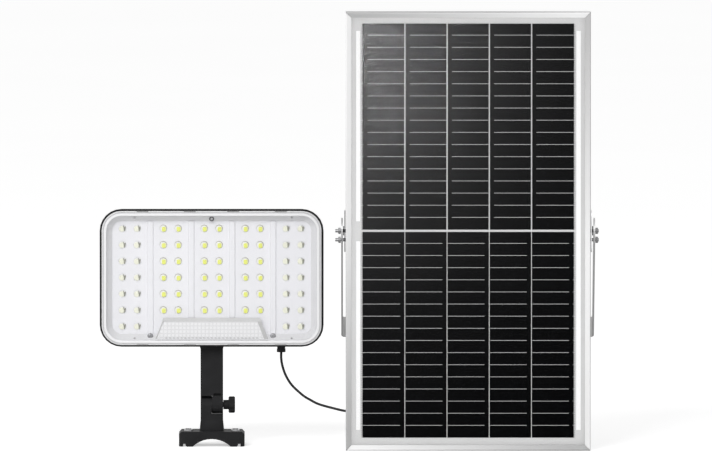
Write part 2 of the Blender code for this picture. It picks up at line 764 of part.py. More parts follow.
# Arm, knuckle and foot
def make_arm(finish, steel, pivot):
    """Upper arm: a saddle under the head, and a tongue in the knuckle's right half."""
    low = SADDLE_TOP - SADDLE_THICKNESS
    strip = [(y, -z) for y, z in stadium(KNUCKLE_RADIUS, -low - GAP, 0)]
    arm = piece("lamp_arm", [prism(strip, "x", -ARM_HALF, ARM_HALF)], finish, pivot)
    neck = round_rectangle(ARM_WIDTH - 2 * GAP, ARM_DEPTH - 2 * GAP, KNUCKLE_RADIUS / 4, 2)
    plate = round_rectangle(2 * SADDLE_HALF, SADDLE_DEPTH, SADDLE_CORNER, 2)
    flare = round_rectangle(ARM_WIDTH + GAP, ARM_DEPTH + GAP, KNUCKLE_RADIUS / 4, 2)
    layers = [
        (low - SADDLE_FLARE - GAP, neck),
        (low - SADDLE_FLARE, flare),
        (low - SADDLE_FLARE / 4, round_rectangle(ARM_WIDTH + SADDLE_FLARE / 2, ARM_DEPTH + GAP * 2, GAP, 2)),
        (low, round_rectangle(ARM_WIDTH + 1.2 * SADDLE_FLARE, ARM_DEPTH + GAP * 3, GAP, 2)),
        (low, plate),
        (SADDLE_TOP, plate),
    ]
    work(arm, "UNION", "saddle", [stack("z", layers)])
    side = 2 * ARM_HALF
    notch = prism(
        rectangle(2 * ARM_DEPTH, SHOULDER + ARM_DEPTH),
        "x",
        -side,
        LAP_FACE,
        (0, (SHOULDER - ARM_DEPTH) / 2),
    )
    work(arm, "DIFFERENCE", "lap", [notch])
    groove = prism(
        rectangle(ARM_GROOVE_WIDTH, ARM_GROOVE_HEIGHT),
        "y",
        -KNUCKLE_RADIUS - GAP,
        ARM_GROOVE_DEPTH - KNUCKLE_RADIUS,
        (ARM_GROOVE_X, ARM_GROOVE_RISE),
    )
    work(arm, "DIFFERENCE", "groove", [groove])
    holes = [prism(circle(CLAMP_RADIUS + GAP), "x", LAP_FACE - GAP, ARM_HALF + GAP)]
    for end in (-1, 1):
        centre = (end * ARM_SCREW_X, 0)
        bore = circle(SCREW_RADIUS + GAP, 12)
        sink = circle(SCREW_HEAD_RADIUS + GAP, 12)
        layers = [
            (low - GAP, sink),
            (low + SCREW_HEAD_HEIGHT + GAP, sink),
            (low + SCREW_HEAD_HEIGHT + GAP, bore),
            (SADDLE_TOP + GAP, bore),
        ]
        holes.append(stack("z", layers, centre))
    work(arm, "DIFFERENCE", "screw_holes", holes)

    for name, end in (("left", -1), ("right", 1)):
        layers = [
            (low, circle(SCREW_HEAD_RADIUS)),
            (low + SCREW_HEAD_HEIGHT, circle(SCREW_HEAD_RADIUS)),
            (low + SCREW_HEAD_HEIGHT, circle(SCREW_RADIUS)),
            (low + ARM_SCREW_LENGTH, circle(SCREW_RADIUS)),
        ]
        piece(f"arm_screw_{name}", [stack("z", layers, (end * ARM_SCREW_X, 0))], steel, pivot)


def foot_outline():
    """The foot from the front: hooks at its ends, two pads, and the arch that sits on a pole."""
    half = math.degrees(math.asin(ARCH_HALF / ARCH_RADIUS))
    arch = arc((0, ARCH_RISE - ARCH_RADIUS), ARCH_RADIUS, 90 + half, 90 - half, 10)
    right = [
        (PAD_EDGE - FOOT_PAD_EDGE, 0),
        (PAD_EDGE, FOOT_PAD_EDGE),
        (PAD_EDGE, NOTCH_HEIGHT),
        (FOOT_HALF - HOOK_WIDTH, NOTCH_HEIGHT),
        (FOOT_HALF - HOOK_WIDTH, 0),
        (FOOT_HALF, 0),
        (FOOT_HALF, FOOT_HEIGHT - FOOT_EDGE),
        (FOOT_HALF - FOOT_EDGE, FOOT_HEIGHT),
    ]
    left = [(-x, z) for x, z in reversed(right)]
    return arch + right + left


def make_foot(finish, foot):
    """Foot with the lower arm, whose ear is the knuckle's left half."""
    plate = prism(foot_outline(), "y", -FOOT_DEPTH / 2 - GAP, FOOT_DEPTH / 2 + GAP)
    base = piece("foot", [plate], finish, foot)
    plan = round_rectangle(2 * (FOOT_HALF + GAP), FOOT_DEPTH, FOOT_CORNER, 4)
    work(base, "INTERSECT", "plan", [prism(plan, "z", -GAP, FOOT_HEIGHT + GAP)])
    root = FOOT_HEIGHT - FOOT_EDGE
    strip = stadium(KNUCKLE_RADIUS, root, KNUCKLE_HEIGHT)
    work(base, "UNION", "ear", [prism(strip, "x", -ARM_HALF, ARM_HALF)])
    wide = round_rectangle(ARM_WIDTH + 2 * POST_FLARE, ARM_DEPTH + 2 * POST_FLARE, KNUCKLE_RADIUS / 3, 2)
    slim = round_rectangle(ARM_WIDTH - 2 * GAP, ARM_DEPTH - 2 * GAP, KNUCKLE_RADIUS / 3, 2)
    layers = [(root - GAP, wide), (FOOT_HEIGHT + FOOT_EDGE / 2, wide), (POST_FLARE_TOP, slim)]
    work(base, "UNION", "flare", [stack("z", layers)])

    side = 2 * ARM_HALF
    low = KNUCKLE_HEIGHT - SHOULDER
    cuts = [
        prism(
            rectangle(2 * ARM_DEPTH, SHOULDER + ARM_DEPTH),
            "x",
            -LAP_FACE,
            side,
            (0, low + (SHOULDER + ARM_DEPTH) / 2),
        )
    ]
    slot = round_rectangle(FOOT_SLOT_WIDTH, FOOT_SLOT_LENGTH, FOOT_SLOT_WIDTH / 2 - GAP, 3)
    for end in (-1, 1):
        cuts.append(prism(slot, "z", -GAP, FOOT_HEIGHT + GAP, (end * FOOT_SLOT_X, 0)))
    pocket = hexagon(CLAMP_NUT_FLATS + 2 * GAP)
    bore = circle(CLAMP_RADIUS + GAP)
    layers = [
        (-ARM_HALF - GAP, pocket),
        (NUT_POCKET - ARM_HALF, pocket),
        (NUT_POCKET - ARM_HALF, bore),
        (GAP - LAP_FACE, bore),
    ]
    work(base, "DIFFERENCE", "lap_and_slots", cuts)
    work(base, "DIFFERENCE", "nut_pocket", [stack("x", layers, (0, KNUCKLE_HEIGHT))])


def make_clamp(black, steel, foot):
    """Thumb screw through the knuckle, and the captive nut it draws on."""
    axis = anchor("clamp_axis", foot, (0, 0, KNUCKLE_HEIGHT))
    face = ARM_HALF + GAP
    neck = face + CLAMP_COLLAR_LENGTH
    sides = 3 * KNOB_FLUTES
    grip = fluted(KNOB_RADIUS, KNOB_FLUTE, KNOB_FLUTES)
    chamfer = fluted(KNOB_RADIUS - KNOB_FLUTE, KNOB_FLUTE / 2, KNOB_FLUTES)
    layers = [
        (2 * GAP - ARM_HALF, circle(CLAMP_RADIUS, sides)),
        (face, circle(CLAMP_RADIUS, sides)),
        (face, circle(CLAMP_COLLAR_RADIUS, sides)),
        (neck, circle(CLAMP_COLLAR_RADIUS, sides)),
        (neck, chamfer),
        (neck + KNOB_FLUTE, grip),
        (neck + KNOB_WIDTH - KNOB_FLUTE, grip),
        (neck + KNOB_WIDTH, chamfer),
    ]
    piece("clamp_knob", [stack("x", layers)], black, axis)
    nut = collar(
        hexagon(CLAMP_NUT_FLATS),
        circle(CLAMP_RADIUS + GAP),
        "x",
        -ARM_HALF,
        CLAMP_NUT_HEIGHT - ARM_HALF,
    )
    piece("clamp_nut", [nut], steel, axis)


# Solar panel
def rail_outline():
    """The frame's section: inward from the outer face, and back from the front."""
    groove = LIP_DROP + LIP_THICKNESS
    return [
        (0, FRAME_EDGE),
        (FRAME_EDGE, 0),
        (LIP_CREST, 0),
        (LIP_WIDTH, LIP_DROP),
        (LIP_WIDTH, groove),
        (FRAME_WALL, groove),
        (FRAME_WALL, SHELF_FRONT),
        (SHELF_WIDTH, SHELF_FRONT),
        (SHELF_WIDTH, CHANNEL_FRONT),
        (FRAME_WALL, CHANNEL_FRONT),
        (FRAME_WALL, CHANNEL_BACK),
        (FLANGE_WIDTH, CHANNEL_BACK),
        (FLANGE_WIDTH, FRAME_DEPTH),
        (0, FRAME_DEPTH),
    ]


def make_frame(finish, dark, panel):
    """Four rails with mitred ends, and a corner key in the channel at each corner."""
    sides = (
        ("bottom", PANEL_WIDTH, (0, 0, -PANEL_HEIGHT / 2), 0),
        ("right", PANEL_HEIGHT, (PANEL_WIDTH / 2, 0, 0), -90),
        ("top", PANEL_WIDTH, (0, 0, PANEL_HEIGHT / 2), 180),
        ("left", PANEL_HEIGHT, (-PANEL_WIDTH / 2, 0, 0), 90),
    )
    for name, length, location, turn in sides:
        rings = []
        for end in (-1, 1):
            mitre = length / 2 - GAP / math.sqrt(2)
            rings.append([(end * (mitre - u), v, u) for u, v in rail_outline()])
        rotation = (0, math.radians(turn), 0)
        rail = piece(f"frame_rail_{name}", [(rings, False)], finish, panel, location, rotation)
        if name in ("left", "right"):
            down = LOCK_RADIUS if name == "left" else -LOCK_RADIUS
            bores = []
            for along in (0, down):
                centre = (along, PIVOT_DEPTH)
                bores.append(prism(circle(BOLT_BORE), "z", -GAP, FRAME_WALL + GAP, centre))
            work(rail, "DIFFERENCE", "bolt_holes", bores)

    inner = FRAME_WALL + GAP
    for end, height in (("lower", -1), ("upper", 1)):
        for side, across in (("left", -1), ("right", 1)):
            x = PANEL_WIDTH / 2 - inner
            z = PANEL_HEIGHT / 2 - inner
            corner = [
                (x, z),
                (x - KEY_LEG, z),
                (x - KEY_LEG, z - KEY_WALL),
                (x - KEY_WALL, z - KEY_WALL),
                (x - KEY_WALL, z - KEY_LEG),
                (x, z - KEY_LEG),
            ]
            shape = prism(
                [(across * u, height * v) for u, v in corner],
                "y",
                CHANNEL_FRONT + GAP,
                CHANNEL_BACK - GAP,
            )
            piece(f"corner_key_{end}_{side}", [shape], dark, panel)


def make_laminate(finishes, panel):
    """Glass, ten cells, four bus ribbons and the backsheet, all held in the frame's groove."""
    sheet = rectangle(SHEET_WIDTH, SHEET_HEIGHT)
    glass = prism(sheet, "y", GLASS_FRONT, GLASS_FRONT + GLASS_THICKNESS)
    piece("panel_glass", [glass], finishes["clear"], panel)
    back = prism(sheet, "y", BACKSHEET_FRONT, BACKSHEET_FRONT + BACKSHEET_THICKNESS)
    piece("backsheet", [back], finishes["white"], panel)

    cell_back = CELL_FRONT + CELL_THICKNESS
    middle = (CELL_HEIGHT + CELL_MID_GAP) / 2
    field = PANEL_WIDTH / 2 - SIDE_MARGIN
    for row, height in (("upper", 1), ("lower", -1)):
        for column in range(CELL_COLUMNS):
            x = (column - (CELL_COLUMNS - 1) / 2) * (CELL_WIDTH + CELL_GAP)
            wafer = rectangle(CELL_WIDTH, CELL_HEIGHT)
            shape = prism(wafer, "y", CELL_FRONT, cell_back, (x, height * middle))
            piece(f"solar_cell_{row}_{column + 1}", [shape], finishes["silicon"], panel)
        for side, across in (("left", -1), ("right", 1)):
            strip = rectangle(RIBBON_WIDTH, CELL_HEIGHT - 2 * RIBBON_SHORTFALL)
            centre = (across * (field + RIBBON_OFFSET), height * middle)
            shape = prism(strip, "y", CELL_FRONT, cell_back, centre)
            piece(f"bus_ribbon_{row}_{side}", [shape], finishes["ribbon"], panel)


def make_junction_box(black, rubber, panel):
    """Junction box with its lid and the gland that the cord hangs from."""
    outer = round_rectangle(BOX_WIDTH, BOX_HEIGHT, BOX_CORNER, 3)
    inner = round_rectangle(BOX_WIDTH - 2 * BOX_WALL, BOX_HEIGHT - 2 * BOX_WALL, BOX_CORNER - BOX_WALL, 3)
    back = BOX_FRONT + BOX_DEPTH
    tray = stack("y", [(BOX_FRONT + BOX_WALL, inner), (back, inner), (back, outer), (BOX_FRONT, outer)])
    piece("junction_box", [tray], black, panel)
    lid_back = back + GAP + LID_THICKNESS
    crown = round_rectangle(BOX_WIDTH - BOX_WALL, BOX_HEIGHT - BOX_WALL, BOX_CORNER - BOX_WALL / 2, 3)
    lid = stack("y", [(back + GAP, outer), (lid_back - LID_THICKNESS / 2, outer), (lid_back, crown)])
    piece("junction_lid", [lid], black, panel)
    top = -BOX_HEIGHT / 2 - GAP
    layers = [
        (top, circle(BOX_GLAND_RADIUS)),
        (top - BOX_GLAND_LENGTH / 3, circle(BOX_GLAND_RADIUS)),
        (top - BOX_GLAND_LENGTH / 2, circle((BOX_GLAND_RADIUS + BOX_GLAND_TIP) / 2)),
        (top - BOX_GLAND_LENGTH, circle(BOX_GLAND_TIP)),
    ]
    shape = stack("z", layers, (BOX_EXIT, BOX_FRONT + BOX_DEPTH / 2))
    piece("panel_gland", [shape], rubber, panel)


def make_pivots(finishes, panel):
    """On each side an ear plate on the frame, a washer, and two bolts with their nuts."""
    for name, side in (("left", -1), ("right", 1)):
        plate = prism(
            round_rectangle(EAR_DEPTH, EAR_HEIGHT, WASHER_RADIUS, 4),
            "x",
            side * EAR_FACE,
            side * (EAR_FACE + EAR_THICKNESS),
            (FRAME_DEPTH / 2, 0),
        )
        ear = piece(f"pivot_ear_{name}", [plate], finishes["aluminium"], panel)
        bores = []
        for down in (0, LOCK_RADIUS):
            low = side * (EAR_FACE - GAP / 2)
            high = side * (EAR_FACE + EAR_THICKNESS + GAP / 2)
            bores.append(prism(circle(BOLT_BORE), "x", low, high, (PIVOT_DEPTH, -down)))
        work(ear, "DIFFERENCE", "bolt_holes", bores)

        washer = collar(
            circle(WASHER_RADIUS),
            circle(BOLT_BORE),
            "x",
            side * WASHER_FACE,
            side * (WASHER_FACE + WASHER_THICKNESS),
            (PIVOT_DEPTH, 0),
        )
        piece(f"pivot_washer_{name}", [washer], finishes["rubber"], panel)

        head = PANEL_WIDTH / 2 - FRAME_WALL - GAP
        tip = NUT_END + (LONG_BOLT_TIP if name == "left" else BOLT_TIP)
        layers = [
            (head - BOLT_HEAD_HEIGHT, circle(BOLT_HEAD_RADIUS)),
            (head, circle(BOLT_HEAD_RADIUS)),
            (head, circle(BOLT_RADIUS)),
            (NUT_FACE, circle(BOLT_RADIUS)),
            (NUT_FACE, hexagon(NUT_FLATS)),
            (NUT_END - NUT_EDGE, hexagon(NUT_FLATS)),
            (NUT_END, hexagon(NUT_FLATS - 2 * NUT_EDGE)),
            (NUT_END, circle(BOLT_RADIUS)),
            (tip, circle(BOLT_RADIUS)),
        ]
        for bolt, down in (("pivot", 0), ("lock", LOCK_RADIUS)):
            shape = stack("x", [(side * x, outline) for x, outline in layers], (PIVOT_DEPTH, -down))
            piece(f"{bolt}_bolt_{name}", [shape], finishes["steel"], panel)


def bracket_outline():
    """The bent strip seen along its width: two arms and the cross bar below."""
    inner = BRACKET_FACE
    outer = BRACKET_FACE + BRACKET_THICKNESS
    low = -BRACKET_REACH
    bend = BRACKET_BEND + BRACKET_THICKNESS
    top = BRACKET_WIDTH
    middle = (outer - bend, low + bend)
    right_outer = [(outer, top)] + arc(middle, bend, 0, -90, 4)
    right_inner = arc(middle, BRACKET_BEND, -90, 0, 4) + [(inner, top)]
    left_outer = [(-x, z) for x, z in reversed(right_outer)]
    left_inner = [(-x, z) for x, z in reversed(right_inner)]
    return right_outer + left_outer + left_inner + right_inner


def lock_slot():
    """Slot round the pivot that the lock bolt runs in as the panel leans back."""
    start = math.degrees(BRACKET_SWING) + 90
    end = start + math.degrees(TILT_RANGE)
    first = [(-y, -z) for y, z in arc((0, 0), LOCK_RADIUS + BOLT_BORE, start, end, 8)]
    second = [(-y, -z) for y, z in arc((0, 0), LOCK_RADIUS - BOLT_BORE, end, start, 8)]
    caps = []
    for angle, turn in ((end, 0), (start, 180)):
        direction = math.radians(angle)
        centre = (-LOCK_RADIUS * math.cos(direction), -LOCK_RADIUS * math.sin(direction))
        caps.append(arc(centre, BOLT_BORE, angle + 180 + turn, angle + 360 + turn, 6)[1:-1])
    outline = first + caps[0] + second + caps[1]
    return [(-y, z) for y, z in outline]


def make_bracket(finish, pivot):
    """U bracket: a bent strip with round arm ends, lock slots and slots in the cross bar."""
    strip = prism(bracket_outline(), "y", -BRACKET_WIDTH, BRACKET_WIDTH)
    bracket = piece("u_bracket", [strip], finish, pivot)
    outer = BRACKET_FACE + BRACKET_THICKNESS + GAP
    blank = stadium(BRACKET_WIDTH / 2, -BRACKET_REACH - GAP, 0, 16)
    work(bracket, "INTERSECT", "blank", [prism(blank, "x", -outer, outer)])
    cuts = [prism(circle(BOLT_BORE), "x", -outer, outer), prism(lock_slot(), "x", -outer, outer)]
    low = -BRACKET_REACH - GAP
    high = BRACKET_THICKNESS - BRACKET_REACH + GAP
    slot = round_rectangle(BRACKET_SLOT_LENGTH, BRACKET_SLOT_WIDTH, BRACKET_SLOT_WIDTH / 2 - GAP, 4)
    for across in (-1, 0, 1):
        cuts.append(prism(slot, "z", low, high, (across * BRACKET_SLOT_SPREAD, 0)))
    work(bracket, "DIFFERENCE", "holes", cuts)


# Cord
def smooth_path(points, step):
    """Points a step apart along a smooth curve through the route's points."""
    route = [Vector(point) for point in points]
    route = [2 * route[0] - route[1]] + route + [2 * route[-1] - route[-2]]
    fine = []
    for before, here, there, after in zip(route, route[1:], route[2:], route[3:]):
        for part in range(20):
            t = part / 20
            square = 2 * before - 5 * here + 4 * there - after
            cube = 3 * here - before - 3 * there + after
            fine.append(here + 0.5 * t * (there - before + square * t + cube * t * t))
    fine.append(route[-2])
    lengths = [0.0]
    for first, second in zip(fine, fine[1:]):
        lengths.append(lengths[-1] + (second - first).length)
    count = max(2, round(lengths[-1] / step))
    columns = [np.interp(np.linspace(0, lengths[-1], count + 1), lengths, axis) for axis in zip(*fine)]
    return [Vector(point) for point in zip(*columns)]


def coil_path():
    """The coil from its top outer end to its bottom outer end: four layers, spiralling in and out,
    each climb in the half turn where the spiral reverses."""
    points = []
    turns = COIL_LAYERS * COIL_LAYER_TURNS
    for step in range(turns * COIL_POINTS_PER_TURN + 1):
        turn = step / COIL_POINTS_PER_TURN
        layer = min(int(turn / COIL_LAYER_TURNS), COIL_LAYERS - 1)
        done = turn - layer * COIL_LAYER_TURNS
        first = COIL_REVERSAL if layer > 0 else 0.0
        last = COIL_LAYER_TURNS - (COIL_REVERSAL if layer < COIL_LAYERS - 1 else 0.0)
        spun = min(max(done, first), last)
        inward = spun if layer % 2 == 0 else COIL_LAYER_TURNS - spun
        radius = COIL_OUTER - COIL_PITCH * inward
        depth = layer + (done - spun) / (2 * COIL_REVERSAL)
        angle = 2 * math.pi * turn - math.pi / 2
        height = COIL_BASE + COIL_LAYER_PITCH * (COIL_LAYERS - 1 - depth)
        points.append(Vector((radius * math.cos(angle), radius * math.sin(angle), height)))
    along = Vector((CORD_DIAMETER, 0, 0))
    return [points[0] - along] + points + [points[-1] + along]


def least_gap(points):
    """The narrowest space between turns of a cord that runs along these points."""
    path = np.array([tuple(point) for point in points])
    along = np.concatenate(([0.0], np.cumsum(np.linalg.norm(np.diff(path, axis=0), axis=1))))
    apart = np.linalg.norm(path[:, None] - path[None, :], axis=2)
    near = np.abs(along[:, None] - along[None, :]) < 4 * CORD_DIAMETER
    return float(np.where(near, np.inf, apart).min() - CORD_DIAMETER)


def cord_tube(name, points, resolution, finish):
    """A round tube of the cord's diameter with closed ends."""
    data = bpy.data.curves.new(name, "CURVE")
    data.dimensions = "3D"
    data.bevel_depth = CORD_DIAMETER / 2
    data.bevel_resolution = resolution
    data.use_fill_caps = True
    spline = data.splines.new("POLY")
    spline.points.add(len(points) - 1)
    for target, point in zip(spline.points, points):
        target.co = (*point, 1.0)
    data.materials.append(finish)
    return put(bpy.data.objects.new(name, data), None, (0, 0, 0), (0, 0, 0))


def path_length(points):
    """Length along a line of points."""
    return sum((second - first).length for first, second in zip(points, points[1:]))


def make_cord(black):
    """Lead from the lamp, coil with its tie, and riser to the junction box."""
    bottom = KNUCKLE_HEIGHT + ARM_RISE
    lead_start = Vector((LAMP_X + GLAND_X, LAMP_Y, bottom - GLAND_DROP - GAP))
    box_low = PANEL_HEIGHT / 2 - BOX_HEIGHT / 2 - GAP - BOX_GLAND_LENGTH - GAP
    riser_start = Vector((PANEL_X + BOX_EXIT, PANEL_Y + BOX_FRONT + BOX_DEPTH / 2, box_low))
    middle = Vector((lead_start.x + COIL_X, lead_start.y + COIL_Y, 0))
    coil = [middle + point for point in coil_path()]
    straight = Vector((GAP, 0, 0))
    run = Vector((2 * CORD_DIAMETER, 0, 0))
    lead_end = [coil[0] - straight - run, coil[0] - straight]
    riser_end = [coil[-1] + straight + run, coil[-1] + straight]
    lead = smooth_path([lead_start + Vector(point) for point in LEAD_ROUTE] + lead_end, CORD_STEP)
    riser = smooth_path([riser_start + Vector(point) for point in RISER_ROUTE] + riser_end, CORD_STEP)
    cord_tube("cable_lead", lead, 2, black)
    cord_tube("cable_coil", coil, 1, black)
    cord_tube("cable_riser", riser, 2, black)

    spread = COIL_TRAVEL + CORD_DIAMETER + 2 * GAP
    height = (COIL_LAYERS - 1) * COIL_LAYER_PITCH + CORD_DIAMETER + 2 * GAP
    inner = round_rectangle(spread, height, CORD_DIAMETER / 2, 3)
    outer = round_rectangle(
        spread + 2 * TIE_THICKNESS, height + 2 * TIE_THICKNESS, CORD_DIAMETER / 2 + TIE_THICKNESS, 3
    )
    centre = (middle.y + COIL_MEAN_RADIUS, TIE_THICKNESS + height / 2)
    band = collar(outer, inner, "x", middle.x - TIE_WIDTH / 2, middle.x + TIE_WIDTH / 2, centre)
    piece("coil_tie", [band], black, None)

    total = path_length(lead) + path_length(coil) + path_length(riser)
    print(f"least gap in the coil {1000 * least_gap(coil):.2f} mm")
    print(f"lead {path_length(lead):.3f} m, riser {path_length(riser):.3f} m, whole cord {total:.3f} m")


def make_finishes():
    """One plain material for each kind of surface."""
    return {
        "black": principled("black_plastic", (0.02, 0.02, 0.022), 0.45),
        "rubber": principled("black_rubber", (0.015, 0.015, 0.016), 0.6),
        "clear": principled("clear_plastic", (0.95, 0.96, 0.97), 0.06, 0.0, 0.95),
        "silicone": principled("white_silicone", (0.78, 0.78, 0.78), 0.5),
        "white": principled("white_plastic", (0.86, 0.86, 0.89), 0.35),
        "led": principled("led_board_white", (0.8, 0.8, 0.72), 0.4),
        "steel": principled("zinc_plated_steel", (0.6, 0.61, 0.62), 0.35, 1.0),
        "aluminium": principled("anodised_aluminium", (0.82, 0.83, 0.84), 0.32, 0.9),
        "dark": principled("dark_plastic", (0.05, 0.05, 0.055), 0.5),
        "silicon": principled("solar_silicon", (0.012, 0.013, 0.016), 0.2),
        "ribbon": principled("tinned_ribbon", (0.85, 0.85, 0.86), 0.3, 0.8),
        "wrap": principled("battery_wrap", (0.03, 0.12, 0.4), 0.35),
        "board": principled("green_board", (0.02, 0.16, 0.07), 0.4),
    }


def main():
    """Clear the scene and build every piece at its place."""
    for old in list(bpy.data.objects):
        bpy.data.objects.remove(old)
    finishes = make_finishes()

    foot = anchor("lamp_foot_place", None, (LAMP_X, LAMP_Y, 0))
    lamp_pivot = anchor("lamp_pivot", foot, (0, 0, KNUCKLE_HEIGHT))
    head = anchor("lamp_head_place", lamp_pivot, (0, -HEAD_OVERHANG, ARM_RISE + HEAD_HEIGHT / 2))
    make_housing(finishes["black"], head)
    make_cover(finishes["clear"], finishes["silicone"], head)
    make_reflector(finishes["white"], head)
    make_board(finishes["led"], head)
    make_head_fittings(finishes, head)
    make_arm(finishes["black"], finishes["steel"], lamp_pivot)
    make_foot(finishes["black"], foot)
    make_clamp(finishes["black"], finishes["steel"], foot)

    panel_pivot = anchor("panel_pivot", None, (PANEL_X, PANEL_Y + PIVOT_DEPTH, PANEL_HEIGHT / 2))
    panel = anchor("panel_place", panel_pivot, (0, -PIVOT_DEPTH, 0))
    make_frame(finishes["aluminium"], finishes["dark"], panel)
    make_laminate(finishes, panel)
    make_junction_box(finishes["black"], finishes["rubber"], panel)
    make_pivots(finishes, panel)
    bracket = anchor("bracket_place", panel_pivot, (0, 0, 0), (BRACKET_SWING, 0, 0))
    make_bracket(finishes["steel"], bracket)
    make_cord(finishes["rubber"])


main()
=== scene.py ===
"""Looks of a solar flood light: finishes, lamp details, panel wiring, cords and the stage round them."""

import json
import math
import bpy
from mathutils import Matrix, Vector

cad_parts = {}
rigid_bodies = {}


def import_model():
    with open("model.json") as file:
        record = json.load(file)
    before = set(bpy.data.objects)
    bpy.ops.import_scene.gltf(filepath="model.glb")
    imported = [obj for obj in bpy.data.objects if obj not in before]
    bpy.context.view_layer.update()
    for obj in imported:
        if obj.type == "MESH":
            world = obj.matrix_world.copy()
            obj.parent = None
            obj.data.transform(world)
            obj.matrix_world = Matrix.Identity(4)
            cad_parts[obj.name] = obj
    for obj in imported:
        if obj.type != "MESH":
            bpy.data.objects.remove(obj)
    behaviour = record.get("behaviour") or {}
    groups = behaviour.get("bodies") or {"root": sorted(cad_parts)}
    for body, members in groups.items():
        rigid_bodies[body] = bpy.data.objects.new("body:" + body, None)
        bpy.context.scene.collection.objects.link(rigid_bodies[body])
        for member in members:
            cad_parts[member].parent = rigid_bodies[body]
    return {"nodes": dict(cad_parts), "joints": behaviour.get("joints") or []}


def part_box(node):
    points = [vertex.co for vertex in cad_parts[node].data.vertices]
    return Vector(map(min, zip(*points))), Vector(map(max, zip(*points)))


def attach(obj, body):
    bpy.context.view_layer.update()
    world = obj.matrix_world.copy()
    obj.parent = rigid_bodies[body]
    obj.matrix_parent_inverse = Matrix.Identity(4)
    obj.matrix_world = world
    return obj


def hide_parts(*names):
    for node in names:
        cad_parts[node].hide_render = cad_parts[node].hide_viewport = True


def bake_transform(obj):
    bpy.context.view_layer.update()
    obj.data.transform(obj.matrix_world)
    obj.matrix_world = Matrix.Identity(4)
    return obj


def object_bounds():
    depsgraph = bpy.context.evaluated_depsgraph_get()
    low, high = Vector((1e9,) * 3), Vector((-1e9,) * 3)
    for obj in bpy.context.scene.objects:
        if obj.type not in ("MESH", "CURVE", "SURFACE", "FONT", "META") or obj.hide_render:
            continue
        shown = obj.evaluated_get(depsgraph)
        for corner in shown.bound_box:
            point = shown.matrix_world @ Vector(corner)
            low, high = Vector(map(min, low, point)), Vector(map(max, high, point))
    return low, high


bl_info = {
    "name": "Solar Flood Light",
    "version": (1, 0, 0),
    "blender": (4, 5, 0),
    "location": "View3D > Sidebar > Flood Light",
    "description": "Dresses the solar flood light with its finishes, LEDs, cell wiring, cords and stage",
    "category": "Object",
}

import bmesh
import bpy
import numpy as np
from bpy.props import FloatProperty, FloatVectorProperty, IntProperty, PointerProperty
from bpy.types import Operator, Panel, PropertyGroup
from mathutils import Vector

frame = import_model()
NODES = frame["nodes"]
CAD_LOW, CAD_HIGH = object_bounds()

# Width of the photograph in pixels, and a pixel's size at the panel's front in metres
PHOTO_WIDTH = 712
PIXEL = 0.000888

# Clearance that the solids keep between pieces
GAP = 0.0003

# How finely cords and LEDs are drawn: parts of a curve between two points of its route, points in a turn of
# the coil, and sides of the cord, the coil, the LEDs and their domes
CURVE_PARTS = 20
COIL_POINTS = 36
CORD_SIDES = 12
COIL_SIDES = 10
LED_SIDES = 20
DOME_SIDES = 16

# Tones of the frame's rails, painted shade for how the light falls on each: side, axis along it, light end,
# dark end, where it starts to darken, both greys in linear light, and the axis, sign and amount of painted
# shade on faces that look outward
RAIL_PAINTED_SHADES = (
    ("left", "Z", 1, 0, 0.45, 0.9, 0.5, "X", -1, 0.3),
    ("bottom", "X", 0, 1, 0.08, 0.79, 0.41, "Z", -1, 0.1),
    ("right", "Z", 0, 1, 0.45, 0.91, 0.48, "X", 1, 0.7),
    ("top", "X", 1, 0, 0.08, 0.95, 0.48, "Z", 1, 0.6),
)

# Steps of the cover's round edge, and the strips of its skin that form the groove inside that edge
COVER_STEPS = 6
COVER_GROOVE = (11, 12, 13)

# Painted shade on the dark side of an outer LED, a notched wedge, from the LED's middle
LED_WEDGE = (
    (0.00135, -0.0024),
    (0.0021, -0.0023),
    (0.0031, 0.0012),
    (0.0027, 0.0019),
    (0.0021, 0.0019),
    (0.0017, 0.0009),
    (0.0012, 0.0027),
    (0.0005, 0.0027),
    (0.0011, 0.0003),
)

# Other LED parts. Levels are measured from the board's front and are below 0 in front of it, and round
# parts give the radius at each level
BOARD_CORNER = 0.0135
CHIP_CORNER = 0.0009
CHIP_LEVELS = (-0.0011, -0.0019)
RESIN_LEVELS = ((-0.0011, 0.0025), (-0.0016, 0.0023))
PALE_CHIP_LEVELS = ((-0.0011, 0.0026), (-0.0018, 0.0023))
PALE_CHIP_SHIFT = (-0.0004, 0.0, -0.0003)
WEDGE_LEVELS = (-0.0017, -0.002)
CUP_LEVELS = (-0.0001, -0.0012)
# The grey ring at an inner LED's dome edge is painted shade: its levels, its width and the shift that
# thickens it at the upper right
DOME_SHADE_LEVELS = (-0.0011, -0.0014)
DOME_SHADE_WALL = 0.0004
DOME_SHADE_SHIFT = (-0.00025, -0.0002)
DOME_ROOT = -0.0009
DOME_BASE = -0.0012

# Clips along the cover's upper and lower edges
CLIP_SPOTS = (-0.0615, -0.0193, 0.0193, 0.0615)
CLIP_WIDTH = 0.0105
CLIP_HEIGHT = 0.0008
CLIP_CORNER = 0.0003
CLIP_INSET = 0.0021
CLIP_LEVELS = (-0.00005, 0.0007)

# How far the bezel's front and back lie in front of the reflector's sloped wall
BEZEL_LIFTS = (0.00015, 0.00005)

# Studs on the sloped wall: places from the head's middle, radius, and levels from the wall
STUD_SPOTS = ((-0.0686, 0.0539), (0.0713, 0.0539), (-0.0686, -0.0542), (0.0713, -0.0542))
STUD_RADIUS = 0.0011
STUD_ROOT = 0.0006
STUD_BASE = -0.0002
STUD_RISE = -0.0007
